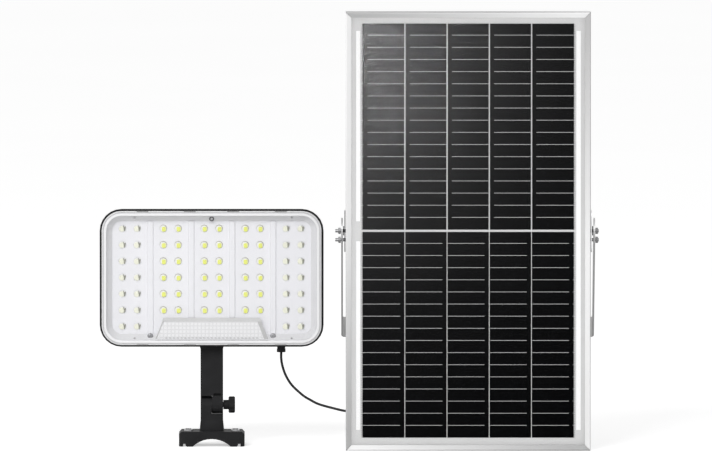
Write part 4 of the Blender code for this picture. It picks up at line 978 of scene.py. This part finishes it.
class FLOODLIGHT_OT_tie(Operator):
    """Make the tie that holds the coil"""

    bl_idname = "floodlight.tie"
    bl_label = "Coil Tie"

    def execute(self, context):
        cord = context.scene.floodlight_cord
        finish = context.scene.floodlight_finish
        low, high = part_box("coil_tie")
        centre = middle("coil_tie")
        wall = cord.tie_thickness
        edge = wall / 4
        half = (high[0] - low[0]) / 2
        tall = high[2] - low[2]
        deep = high[1] - low[1]

        def loop(inset):
            """The band's outline drawn in by an inset."""
            corner = cord.diameter / 2 + wall - inset
            return round_rectangle(deep - 2 * inset, tall - 2 * inset, corner, 6)

        band = bmesh.new()
        layers = [(-half + edge, loop(0)), (half - edge, loop(0)), (half, loop(edge)), (half, loop(wall))]
        layers += [(-half, loop(wall)), (-half, loop(edge))]
        stack(band, "x", layers, centre, closed=True)
        head = (centre.x, high[1] + wall, centre.z)
        wide = TIE_HEAD_WIDTH * half
        long = TIE_HEAD_HEIGHT * tall
        block = round_rectangle(wide, long, edge * 2, 3)
        small = round_rectangle(wide - wall, long - wall, edge, 3)
        stack(band, "y", [(-wall, block), (2 * wall, block), (2.5 * wall, small)], head)
        tail = round_rectangle(TIE_TAIL_WIDTH * half, wall, edge, 3)
        prism(band, "y", (2 * wall, 5 * wall), tail, head)
        plastic = finish_named("tie_plastic", moulded_black, finish.rubber)
        tie = piece("cable_tie", band, [plastic], "mounts")
        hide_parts("coil_tie")
        return {"FINISHED"}


class FLOODLIGHT_OT_gland_nut(Operator):
    """Add the hexagon nut of the junction box's gland"""

    bl_idname = "floodlight.gland_nut"
    bl_label = "Gland Nut"

    def execute(self, context):
        finish = context.scene.floodlight_finish
        rubber = finish_named("cord_jacket", soft_black, finish.rubber)
        low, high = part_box("panel_gland")
        radius = (high[0] - low[0]) / 2
        tall = high[2] - low[2]
        nut = bmesh.new()
        layers = [(level * tall, circle(size * radius, 6)) for level, size in GLAND_NUT]
        stack(nut, "z", layers, middle("panel_gland"))
        piece("gland_nut", nut, [rubber], "panel")
        return {"FINISHED"}


# Lamp head
def head_frame():
    """The lamp head's middle on its rim's front plane, its width and its height."""
    low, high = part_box("rear_housing")
    centre = Vector(((low[0] + high[0]) / 2, low[1], (low[2] + high[2]) / 2))
    return centre, high[0] - low[0], high[2] - low[2]


def head_outline(lamp, inset):
    """The head's outline drawn in by an inset."""
    _, width, height = head_frame()
    return round_rectangle(width - 2 * inset, height - 2 * inset, lamp.head_corner - inset, 12)


class FLOODLIGHT_OT_shells(Operator):
    """Finish the housing and what lies inside it, and add its back screws and button ring"""

    bl_idname = "floodlight.shells"
    bl_label = "Lamp Shells"

    def execute(self, context):
        finish = context.scene.floodlight_finish
        lamp = context.scene.floodlight_lamp
        black = finish_named("moulded_black", moulded_black, finish.black)
        paint(black, "rear_housing")
        paint(finish_named("seal_silicone", dull_sheet, finish.silicone), "cover_seal")
        paint(finish_named("button_rubber", soft_black, finish.rubber), "power_button")
        paint(finish_named("battery_film", coloured_film, (0.03, 0.12, 0.4)), "battery_pack")
        paint(finish_named("board_lacquer", coloured_film, (0.02, 0.16, 0.07)), "control_board")

        centre = head_frame()[0]
        back = centre.y + lamp.head_depth
        spots = [(x * BACK_SCREW_X, z * BACK_SCREW_Z) for x in (-1, 1) for z in (-1, 1)]
        places = [(centre.x + x, back, centre.z + z) for x, z in spots]
        steel = finish_named("fastener_steel", plated_steel, finish.steel)
        cross_screws("housing_screws", places, 1, *BACK_SCREW, steel, "lamp")
        button = middle("power_button")
        place = (button.x, back, button.z)
        turned_ring("button_ring", BUTTON_RING, 32, "y", place, black, "lamp")
        return {"FINISHED"}


def cover_skin(lamp):
    """The cover's section as (inset, depth): its inside out to the skirt, then its outside back in."""
    front = -lamp.cover_proud
    inside = front + lamp.cover_wall
    inner = lamp.cover_inset + lamp.cover_wall
    skin = [(lamp.cover_rim, inside), (inner, inside)]
    skin += [(inner, lamp.cover_skirt), (lamp.cover_inset, lamp.cover_skirt)]
    for step in range(COVER_STEPS + 1):
        turn = math.radians(90 * step / COVER_STEPS)
        inset = lamp.cover_inset + lamp.cover_edge * (1 - math.cos(turn))
        skin.append((inset, front + lamp.cover_edge * (1 - math.sin(turn))))
    low = lamp.groove_inset
    high = low + lamp.groove_width
    bank = lamp.groove_depth / 2
    floor = front + lamp.groove_depth
    skin += [(low, front), (low + bank, floor), (high - bank, floor), (high, front), (lamp.cover_rim, front)]
    return skin


class FLOODLIGHT_OT_cover(Operator):
    """Make the clear front cover with its round edge, groove and clips"""

    bl_idname = "floodlight.cover"
    bl_label = "Front Cover"

    def execute(self, context):
        lamp = context.scene.floodlight_lamp
        centre, _, height = head_frame()
        shell = bmesh.new()
        layers = [(depth, head_outline(lamp, inset)) for inset, depth in cover_skin(lamp)]
        stack(shell, "y", layers, centre)
        sides = len(layers[0][1])
        for index, face in enumerate(shell.faces):
            strip = (index - 2) // sides
            face.material_index = 0 if strip < 0 else 2 if strip in COVER_GROOVE else 1
        pane = finish_named("cover_pane", see_through, (0.95, 0.95, 0.97), 0.04, 0.05)
        edge = finish_named("cover_edge", see_through, (0.96, 0.96, 0.97), 0.8, 0.2)
        # The groove's grey, darker than the clear edge, is painted shade
        groove = finish_named("cover_groove", see_through, (0.7, 0.7, 0.71), 0.8, 0.25)
        cover = piece("clear_cover", shell, [pane, edge, groove], "lamp", 50)
        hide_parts("front_cover")

        tabs = bmesh.new()
        tab = round_rectangle(CLIP_WIDTH, CLIP_HEIGHT, CLIP_CORNER, 3)
        front = centre.y - lamp.cover_proud
        for end in (-1, 1):
            for x in CLIP_SPOTS:
                place = (centre.x + x, front, centre.z + end * (height / 2 - CLIP_INSET))
                prism(tabs, "y", CLIP_LEVELS, tab, place)
        grey = finish_named("clip_grey", smooth_moulding, (0.3, 0.3, 0.3))
        piece("cover_clips", tabs, [grey], "lamp")
        return {"FINISHED"}


def led_places(lamp):
    """The LEDs as (x, z, outer group) about the head's middle."""
    places = []
    for group in range(lamp.groups):
        outer = group in (0, lamp.groups - 1)
        for side in (-1, 1):
            x = (group - (lamp.groups - 1) / 2) * lamp.group_pitch + side * lamp.pair_pitch / 2
            for row in range(lamp.rows if outer else lamp.window_rows):
                places.append((x, ((lamp.rows - 1) / 2 - row) * lamp.row_pitch, outer))
    return places


class FLOODLIGHT_OT_reflector(Operator):
    """Finish the reflector plate and add its bezel, studs, screws and the status light's ring"""

    bl_idname = "floodlight.reflector"
    bl_label = "Reflector"

    def execute(self, context):
        finish = context.scene.floodlight_finish
        lamp = context.scene.floodlight_lamp
        centre, _, height = head_frame()
        paint(finish_named("reflector_white", smooth_moulding, finish.white), "reflector_plate")

        # The bezel is a sheet laid over the sloped wall, its darker grey painted shade
        bezel = bmesh.new()
        layers = []
        for lift, ends in zip(BEZEL_LIFTS, ((0, 1), (1, 0))):
            for end in ends:
                depth = lamp.slope_front + end * lamp.slope_depth - lift
                layers.append((depth, head_outline(lamp, lamp.slope_inset + end * lamp.slope_width)))
        stack(bezel, "y", layers, centre, closed=True)
        grey = finish_named("slope_grey", smooth_moulding, finish.slope)
        piece("reflector_bezel", bezel, [grey], "lamp")

        studs = bmesh.new()
        layers = [(STUD_ROOT, circle(STUD_RADIUS, 12))]
        layers += dome_layers(STUD_BASE, STUD_RISE, STUD_RADIUS, 12, 3)
        for x, z in STUD_SPOTS:
            inset = height / 2 - abs(z) - lamp.slope_inset
            depth = lamp.slope_front + inset / lamp.slope_width * lamp.slope_depth
            stack(studs, "y", layers, (centre.x + x, centre.y + depth, centre.z + z))
        pale = finish_named("stud_grey", smooth_moulding, (0.45, 0.45, 0.46))
        piece("reflector_studs", studs, [pale], "lamp")

        steel = finish_named("screw_nickel", plated_steel, (0.28, 0.28, 0.29))
        head_height = PLATE_SCREW[1]
        for side in ("left", "right"):
            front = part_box(f"reflector_screw_{side}")[0][1]
            spot = middle(f"reflector_screw_{side}")
            place = (spot.x, front + head_height, spot.z)
            screw = cross_screws(f"plate_screw_{side}", [place], -1, *PLATE_SCREW, steel, "lamp")
            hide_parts(f"reflector_screw_{side}")

        status = middle("status_light")
        place = (status.x, centre.y, status.z)
        dark = finish_named("status_rim", moulded_black, (0.06, 0.06, 0.065))
        turned_ring("status_ring", STATUS_RING, 24, "y", place, dark, "lamp")
        paint(finish_named("status_lens", see_through, (0.9, 0.9, 0.92), 0.5, 0.1), "status_light")
        return {"FINISHED"}


class FLOODLIGHT_OT_window(Operator):
    """Finish the sensor window and add the trim of painted shade and the teeth along its edges"""

    bl_idname = "floodlight.window"
    bl_label = "Sensor Window"

    def execute(self, context):
        finish = context.scene.floodlight_finish
        lamp = context.scene.floodlight_lamp
        paint(finish_named("window_grid", grid_window, finish.lens, lamp.window_grid), "sensor_window")
        low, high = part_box("sensor_window")
        centre = middle("sensor_window")
        place = (centre.x, low[1], centre.z)
        half = (high[2] - low[2]) / 2
        lean = (WINDOW_BOTTOM - WINDOW_TOP) / (2 * half)

        def bar(outer, inner, upper, lower):
            """A strip of trim between two x positions at its upper end, leaning with the window."""
            points = []
            for x, z in ((outer, upper), (inner, upper), (inner, lower), (outer, lower)):
                points.append((x + math.copysign((half - z) * lean, x), z))
            return points

        # Painted shade: a grey trim along the top and left, and a wider, darker strip on the right
        wide = WINDOW_TOP + TRIM_EDGE
        band = half - TRIM_BAND
        trim = [bar(-wide, wide, half + TRIM_EDGE, band), bar(-wide, TRIM_LEFT - wide, band, -half)]
        side = [bar(wide, wide - TRIM_RIGHT, band, -half)]
        teeth = []
        count = int(2 * WINDOW_TOP / lamp.window_grid)
        for tooth in range(count):
            x = (tooth - (count - 1) / 2) * lamp.window_grid
            teeth.append([(x + u, v + TOOTH_RISE - half) for u, v in rectangle(TOOTH_WIDTH, TOOTH_HEIGHT)])
        strips = {"window_trim": trim, "window_side": side, "window_teeth": teeth}
        for name, outlines in strips.items():
            grey = WINDOW_SHADE_AND_TEETH_GREYS[name]
            bars = bmesh.new()
            for outline in outlines:
                prism(bars, "y", TRIM_LEVELS, outline, place)
            material = finish_named(name, smooth_moulding, (grey, grey, grey))
            piece(name, bars, [material], "lamp")
        return {"FINISHED"}


class FLOODLIGHT_OT_leds(Operator):
    """Make the LED board with its cups, chips and clear domes"""

    bl_idname = "floodlight.leds"
    bl_label = "LEDs"

    def execute(self, context):
        finish = context.scene.floodlight_finish
        lamp = context.scene.floodlight_lamp
        low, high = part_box("led_board")
        centre = middle("led_board")
        back = high[1]
        front = back - lamp.board_thickness

        board = bmesh.new()
        outline = round_rectangle(high[0] - low[0], high[2] - low[2], BOARD_CORNER, 8)
        prism(board, "y", (front, back), outline, (centre.x, 0, centre.z))
        white = finish_named("board_white", dull_sheet, (0.8, 0.8, 0.82))
        board_piece = piece("led_board_plate", board, [white], "lamp")
        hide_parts("led_board")

        names = ("chips_inner", "chips_outer", "resin", "cups", "collars", "shades", "domes")
        parts = {name: bmesh.new() for name in names}
        right = lamp.chip_right
        chip = round_rectangle(lamp.chip_width, lamp.chip_height, CHIP_CORNER, 4)
        pale_chip = turned(PALE_CHIP_LEVELS, LED_SIDES)
        resin = turned(RESIN_LEVELS, LED_SIDES)
        cup = circle(lamp.cup_radius, LED_SIDES)
        # A grey ring of painted shade round each inner dome
        shift_x, shift_z = DOME_SHADE_SHIFT
        lip = [(u + shift_x, v + shift_z) for u, v in circle(lamp.cup_radius - DOME_SHADE_WALL, LED_SIDES)]
        root, top = DOME_SHADE_LEVELS
        collar = [(root, cup), (top, cup), (top, lip), (root, lip)]
        dome_rise = -DOME_BASE - lamp.dome_height
        dome = [(DOME_ROOT, circle(lamp.dome_radius, DOME_SIDES))]
        dome += dome_layers(DOME_BASE, dome_rise, lamp.dome_radius, DOME_SIDES, 5, 84)
        for x, z, outer in led_places(lamp):
            place = Vector((centre.x + x, front, centre.z + z))
            prism(parts["cups"], "y", CUP_LEVELS, cup, place)
            stack(parts["domes"], "y", dome, place)
            if outer:
                stack(parts["chips_outer"], "y", pale_chip, place + Vector(PALE_CHIP_SHIFT))
                prism(parts["shades"], "y", WEDGE_LEVELS, LED_WEDGE, place)
            else:
                chip_place = place + Vector((right, 0, -lamp.chip_down))
                prism(parts["chips_inner"], "y", CHIP_LEVELS, chip, chip_place)
                stack(parts["resin"], "y", resin, place + Vector((right, 0, -right)))
                stack(parts["collars"], "y", collar, place, closed=True)
        looks = (
            ("chips_inner", "led_phosphor", powdery_chip, finish.phosphor),
            ("chips_outer", "led_pale_chip", powdery_chip, finish.pale_chip),
            ("resin", "led_resin", powdery_chip, finish.resin),
            ("cups", "cup_white", dull_sheet, (0.92, 0.92, 0.93)),
            ("collars", "led_collar", powdery_chip, finish.collar),
            ("shades", "led_shade", powdery_chip, finish.shade),
        )
        for name, look, make, base in looks:
            piece(f"led_{name}", parts[name], [finish_named(look, make, base)], "lamp")
        clear = finish_named("dome_clear", see_through, (0.88, 0.87, 0.93), 0.1, 0.1)
        piece("led_domes", parts["domes"], [clear], "lamp", 60)
        return {"FINISHED"}


class FLOODLIGHT_OT_stand(Operator):
    """Finish the arm, the foot and the clamp, and add the knuckle's washer and the slots' liners"""

    bl_idname = "floodlight.stand"
    bl_label = "Arm and Foot"

    def execute(self, context):
        finish = context.scene.floodlight_finish
        black = finish_named("moulded_black", moulded_black, finish.black)
        paint(black, "lamp_arm", "foot", "clamp_knob")
        steel = finish_named("fastener_steel", plated_steel, finish.steel)
        paint(steel, "arm_screw_left", "arm_screw_right", "clamp_nut")
        hinge = next(joint for joint in frame["joints"] if joint["name"] == "lamp_tilt")
        pivot = Vector(hinge["pos_m"])
        rubber = finish_named("washer_rubber", soft_black, finish.rubber)
        turned_ring("knuckle_washer", KNUCKLE_WASHER, 32, "x", pivot, rubber, "mounts")

        layers = []
        for grow, levels in ((0.0, LINER_LEVELS), (LINER_WALL, LINER_LEVELS[::-1])):
            slot = round_rectangle(SLOT_WIDTH + 2 * grow, SLOT_LENGTH + 2 * grow, SLOT_CORNER + grow, 6)
            layers += [(level, slot) for level in levels]
        liners = bmesh.new()
        for side in (-1, 1):
            place = (pivot.x + side * SLOT_X, middle("foot").y, FOOT_HEIGHT)
            stack(liners, "z", layers, place, closed=True)
        nickel = finish_named("liner_nickel", plated_steel, (0.62, 0.62, 0.63))
        piece("slot_liners", liners, [nickel], "mounts")
        return {"FINISHED"}


# Solar panel
class FLOODLIGHT_OT_panel_frame(Operator):
    """Finish the frame and its corner keys, the ears, bolts and washers, and the bracket"""

    bl_idname = "floodlight.panel_frame"
    bl_label = "Panel Frame"

    def execute(self, context):
        finish = context.scene.floodlight_finish
        # Each rail gets its own copy of the finish, with its own painted shade
        for side, axis, start, end, *tones in RAIL_PAINTED_SHADES:
            ends = [corner["XYZ".index(axis)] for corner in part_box(f"frame_rail_{side}")]
            satin = finish_named(f"anodised_{side}", anodised, axis, ends[start], ends[end], *tones)
            paint(satin, f"frame_rail_{side}")
        # The bracket's grading and the ears' two tones are painted shade
        low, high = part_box("u_bracket")
        steel = finish_named("bracket_steel", graded_steel, low[0], high[0], *BRACKET_PAINTED_SHADES)
        paint(steel, "u_bracket")
        bolts = finish_named("bolt_steel", plated_steel, (0.3, 0.3, 0.305))
        rubber = finish_named("washer_rubber", soft_black, finish.rubber)
        for side, tone in EAR_PAINTED_SHADES:
            paint(finish_named(f"ear_steel_{side}", plated_steel, tone), f"pivot_ear_{side}")
            paint(bolts, f"pivot_bolt_{side}", f"lock_bolt_{side}")
            paint(rubber, f"pivot_washer_{side}")
        keys = [f"corner_key_{end}_{side}" for end in ("lower", "upper") for side in ("left", "right")]
        paint(finish_named("key_plastic", moulded_black, (0.02, 0.02, 0.02)), *keys)
        return {"FINISHED"}


def busbar_strips(panel, row, cells, left, right):
    """The busbars on a row of cells, with their ends between the outer cells and the ribbons."""
    strips = []
    for cell in cells:
        low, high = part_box(cell)
        start = low[0] + (panel.busbar_stop if row == "upper" else 0.0)
        end = high[0] - (panel.busbar_stop if row == "lower" else 0.0)
        runs = [(start, end)]
        if cell == cells[0]:
            runs.append((left, low[0]))
        if cell == cells[-1]:
            runs.append((high[0], right))
        height = (low[2] + high[2]) / 2 + panel.busbar_rise
        for bar in range(panel.busbars):
            below = height + (bar - (panel.busbars - 1) / 2) * panel.busbar_pitch - panel.busbar_width / 2
            strips += [(first, last, below, below + panel.busbar_width) for first, last in runs]
    return strips


def edge_strips(panel, row, cells):
    """The dark edges beside and over each cell of a row."""
    strips = []
    beside = panel.cell_edge_upper if row == "upper" else panel.cell_edge
    for cell in cells:
        low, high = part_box(cell)
        before = panel.cell_rim if cell == cells[0] else beside
        after = panel.cell_rim if cell == cells[-1] else beside
        top = high[2] + panel.cell_rim
        strips.append((low[0] - before, low[0], low[2], top))
        strips.append((high[0], high[0] + after, low[2], top))
        strips.append((low[0], high[0], high[2], top))
    return strips


def tab_strips(panel):
    """The ribbons' solder tabs, the strip that joins the two right ribbons, and the solder beside them."""
    strips = []
    for side in ("left", "right"):
        foot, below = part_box(f"bus_ribbon_lower_{side}")
        above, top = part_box(f"bus_ribbon_upper_{side}")
        strips.append((foot[0], top[0], foot[2] - panel.ribbon_foot, foot[2]))
        strips.append((foot[0], top[0], top[2], top[2] + panel.ribbon_top))
    strips.append((foot[0], top[0], below[2], above[2]))
    ends = (foot[2] - panel.ribbon_foot, top[2] + panel.ribbon_top)
    strips.append((top[0], top[0] + panel.ribbon_spread, *ends))
    return strips


class FLOODLIGHT_OT_laminate(Operator):
    """Finish the glass, cells and backsheet, and add the cells' wiring and edges"""

    bl_idname = "floodlight.laminate"
    bl_label = "Cells and Glass"

    def execute(self, context):
        finish = context.scene.floodlight_finish
        panel = context.scene.floodlight_panel
        cells = sorted(name for name in NODES if name.startswith("solar_cell"))
        ribbons = sorted(name for name in NODES if name.startswith("bus_ribbon"))
        metal = finish_named("ribbon_tin", tinned, finish.ribbon)
        wires = finish_named("busbar_tin", tinned, finish.busbar)
        teeth = finish_named("comb_edge", comb_strip, finish.comb, panel.comb_pitch)
        silicon = finish_named("cell_silicon", dark_silicon, finish.silicon)
        paint(silicon, *cells)
        paint(metal, *ribbons)
        paint(finish_named("solar_glass", see_through, (0.0, 0.0, 0.0), 0.01, 0.12, 0.0), "panel_glass")
        paint(finish_named("backsheet_white", dull_sheet, finish.backsheet), "backsheet")

        for row in ("upper", "lower"):
            row_cells = [name for name in cells if f"_{row}_" in name]
            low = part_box(row_cells[0])[0]
            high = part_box(row_cells[-1])[1]
            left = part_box(f"bus_ribbon_{row}_left")[1][0]
            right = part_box(f"bus_ribbon_{row}_right")[0][0]
            face = low[1] - panel.busbar_thickness
            depths = (face - panel.busbar_thickness / 2, face + panel.busbar_thickness / 2)
            bars = flat_strips(busbar_strips(panel, row, row_cells, left, right), depths)
            piece(f"busbars_{row}", bars, [wires], "panel")
            depths = (low[1], high[1])
            edges = flat_strips(edge_strips(panel, row, row_cells), depths)
            piece(f"cell_edges_{row}", edges, [silicon], "panel")
            half = panel.comb_width / 2
            spots = ((left + low[0]) / 2, (high[0] + right) / 2)
            combs = flat_strips([(x - half, x + half, low[2], high[2]) for x in spots], depths)
            piece(f"cell_combs_{row}", combs, [teeth], "panel")

        low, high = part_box("bus_ribbon_upper_right")
        tabs = flat_strips(tab_strips(panel), (low[1], high[1]))
        piece("bus_ribbon_tabs", tabs, [metal], "panel")
        return {"FINISHED"}


class FLOODLIGHT_OT_junction_box(Operator):
    """Finish the junction box and add its lid screws"""

    bl_idname = "floodlight.junction_box"
    bl_label = "Junction Box"

    def execute(self, context):
        finish = context.scene.floodlight_finish
        paint(finish_named("moulded_black", moulded_black, finish.black), "junction_box", "junction_lid")
        low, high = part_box("junction_lid")
        steel = finish_named("fastener_steel", plated_steel, finish.steel)
        across = (low[0] + LID_SCREW_INSET, high[0] - LID_SCREW_INSET)
        heights = (low[2] + LID_SCREW_INSET, high[2] - LID_SCREW_INSET)
        places = [(x, high[1], z) for x in across for z in heights]
        cross_screws("lid_screws", places, 1, *LID_SCREW, steel, "panel")
        return {"FINISHED"}


# Stage
def area_lamp(name, watts, place, target, size):
    """A soft rectangular lamp aimed at a point."""
    data = bpy.data.lights.new(name, "AREA")
    data.shape = "RECTANGLE"
    data.size, data.size_y = size
    data.energy = watts
    lamp = bpy.data.objects.new(name, data)
    bpy.context.scene.collection.objects.link(lamp)
    lamp.location = place
    lamp.rotation_euler = (Vector(target) - Vector(place)).to_track_quat("-Z", "Y").to_euler()
    return lamp


def link_light(lamp, prefixes, state):
    """INCLUDE lets a lamp light only the objects whose names start this way, EXCLUDE all the others."""
    listed = bpy.data.collections.new(f"{lamp.name}_list")
    for obj in bpy.data.objects:
        if obj.name.startswith(prefixes):
            listed.objects.link(obj)
    for member in listed.collection_objects:
        member.light_linking.link_state = state
    lamp.light_linking.receiver_collection = listed


def make_world(strength):
    """An even pale sky: white to the camera and in reflections, and plain light elsewhere."""
    world = bpy.data.worlds.new("studio")
    world.use_nodes = True
    bpy.context.scene.world = world
    tree = world.node_tree
    background = tree.nodes["Background"]
    background.inputs["Color"].default_value = (1.0, 1.0, 1.0, 1.0)
    path = tree.nodes.new("ShaderNodeLightPath")
    seen = path.outputs["Is Camera Ray"]
    for kind in ("Is Glossy Ray", "Is Transmission Ray"):
        either = tree.nodes.new("ShaderNodeMath")
        either.operation = "MAXIMUM"
        tree.links.new(seen, either.inputs[0])
        tree.links.new(path.outputs[kind], either.inputs[1])
        seen = either.outputs["Value"]
    level = tree.nodes.new("ShaderNodeMapRange")
    level.inputs["To Min"].default_value = strength
    level.inputs["To Max"].default_value = 1.0
    tree.links.new(seen, level.inputs["Value"])
    tree.links.new(level.outputs["Result"], background.inputs["Strength"])


def make_floor(ground, glow):
    """A wide pale floor, lifted to white where the camera sees it, that keeps the object's shadow."""
    bm = bmesh.new()
    corners = rectangle(2 * FLOOR_HALF, 2 * FLOOR_HALF)
    bm.faces.new([bm.verts.new((x, y, 0.0)) for x, y in corners])
    finish = Finish("floor_white", ground, 0.9, specular=0.0)
    finish.mottle(finish.noise(3.0), 0.006)
    finish.set("Emission Color", (1.0, 1.0, 1.0, 1.0))
    path = finish.add("ShaderNodeLightPath")
    strength = finish.maths("MULTIPLY", path.outputs["Is Camera Ray"], float(glow))
    finish.link(strength, finish.shader.inputs["Emission Strength"])
    floor = bpy.data.objects.new("floor", fill("floor", bm))
    floor.data.materials.append(finish.material)
    bpy.context.scene.collection.objects.link(floor)


def make_camera(stage):
    """A long lens at the photograph's angle."""
    across = middle("panel_glass").x + stage.view_across
    target = Vector((across, CAD_LOW.y, stage.view_z))
    rise = stage.view_elevation
    data = bpy.data.cameras.new("photo_camera")
    data.sensor_width = 36.0
    data.lens = data.sensor_width * stage.view_distance / stage.view_width
    data.clip_end = 100.0
    camera = bpy.data.objects.new("photo_camera", data)
    bpy.context.scene.collection.objects.link(camera)
    camera.location = target + stage.view_distance * Vector((0, -math.cos(rise), math.sin(rise)))
    camera.rotation_euler = (target - camera.location).to_track_quat("-Z", "Y").to_euler()
    bpy.context.scene.camera = camera


class FLOODLIGHT_OT_stage(Operator):
    """Set up the floor, the lights and the camera"""

    bl_idname = "floodlight.stage"
    bl_label = "Stage"

    def execute(self, context):
        stage = context.scene.floodlight_stage
        context.scene.view_settings.view_transform = "Standard"
        make_world(stage.sky_strength)
        make_floor(stage.ground, stage.floor_glow)
        key = area_lamp("key_light", stage.key_power, *KEY_LAMP)
        link_light(key, RECESSED, "EXCLUDE")
        area_lamp("fill_light", stage.fill_power, *FILL_LAMP)
        sheen = area_lamp("sheen_light", stage.sheen_power, *SHEEN_LAMP)
        link_light(sheen, CELL_FACES, "INCLUDE")
        sheen.visible_diffuse = False
        recess = area_lamp("recess_light", stage.recess_power, *RECESS_LAMP)
        link_light(recess, RECESSED, "INCLUDE")
        make_camera(stage)
        return {"FINISHED"}


OPERATORS = (
    FLOODLIGHT_OT_cords,
    FLOODLIGHT_OT_tie,
    FLOODLIGHT_OT_gland_nut,
    FLOODLIGHT_OT_shells,
    FLOODLIGHT_OT_cover,
    FLOODLIGHT_OT_reflector,
    FLOODLIGHT_OT_window,
    FLOODLIGHT_OT_leds,
    FLOODLIGHT_OT_stand,
    FLOODLIGHT_OT_panel_frame,
    FLOODLIGHT_OT_laminate,
    FLOODLIGHT_OT_junction_box,
    FLOODLIGHT_OT_stage,
)


class FLOODLIGHT_PT_panel(Panel):
    """Lists what dresses the flood light"""

    bl_label = "Solar Flood Light"
    bl_idname = "FLOODLIGHT_PT_panel"
    bl_space_type = "VIEW_3D"
    bl_region_type = "UI"
    bl_category = "Flood Light"

    def draw(self, context):
        for operator in OPERATORS:
            self.layout.operator(operator.bl_idname)
        for attribute, group in SETTINGS:
            box = self.layout.box()
            box.label(text=group.__doc__)
            for name in group.__annotations__:
                box.prop(getattr(context.scene, attribute), name)


CLASSES = tuple(group for _, group in SETTINGS) + OPERATORS + (FLOODLIGHT_PT_panel,)


def register():
    """Register every class and hang the settings on the scene."""
    for cls in CLASSES:
        bpy.utils.register_class(cls)
    for attribute, group in SETTINGS:
        setattr(bpy.types.Scene, attribute, PointerProperty(type=group))


def unregister():
    """Take the settings and the classes away again."""
    for attribute, _ in SETTINGS:
        delattr(bpy.types.Scene, attribute)
    for cls in reversed(CLASSES):
        bpy.utils.unregister_class(cls)


def main():
    """Register and dress the object piece by piece."""
    register()
    for operator in OPERATORS:
        group, name = operator.bl_idname.split(".")
        getattr(getattr(bpy.ops, group), name)()


if __name__ == "__main__":
    main()
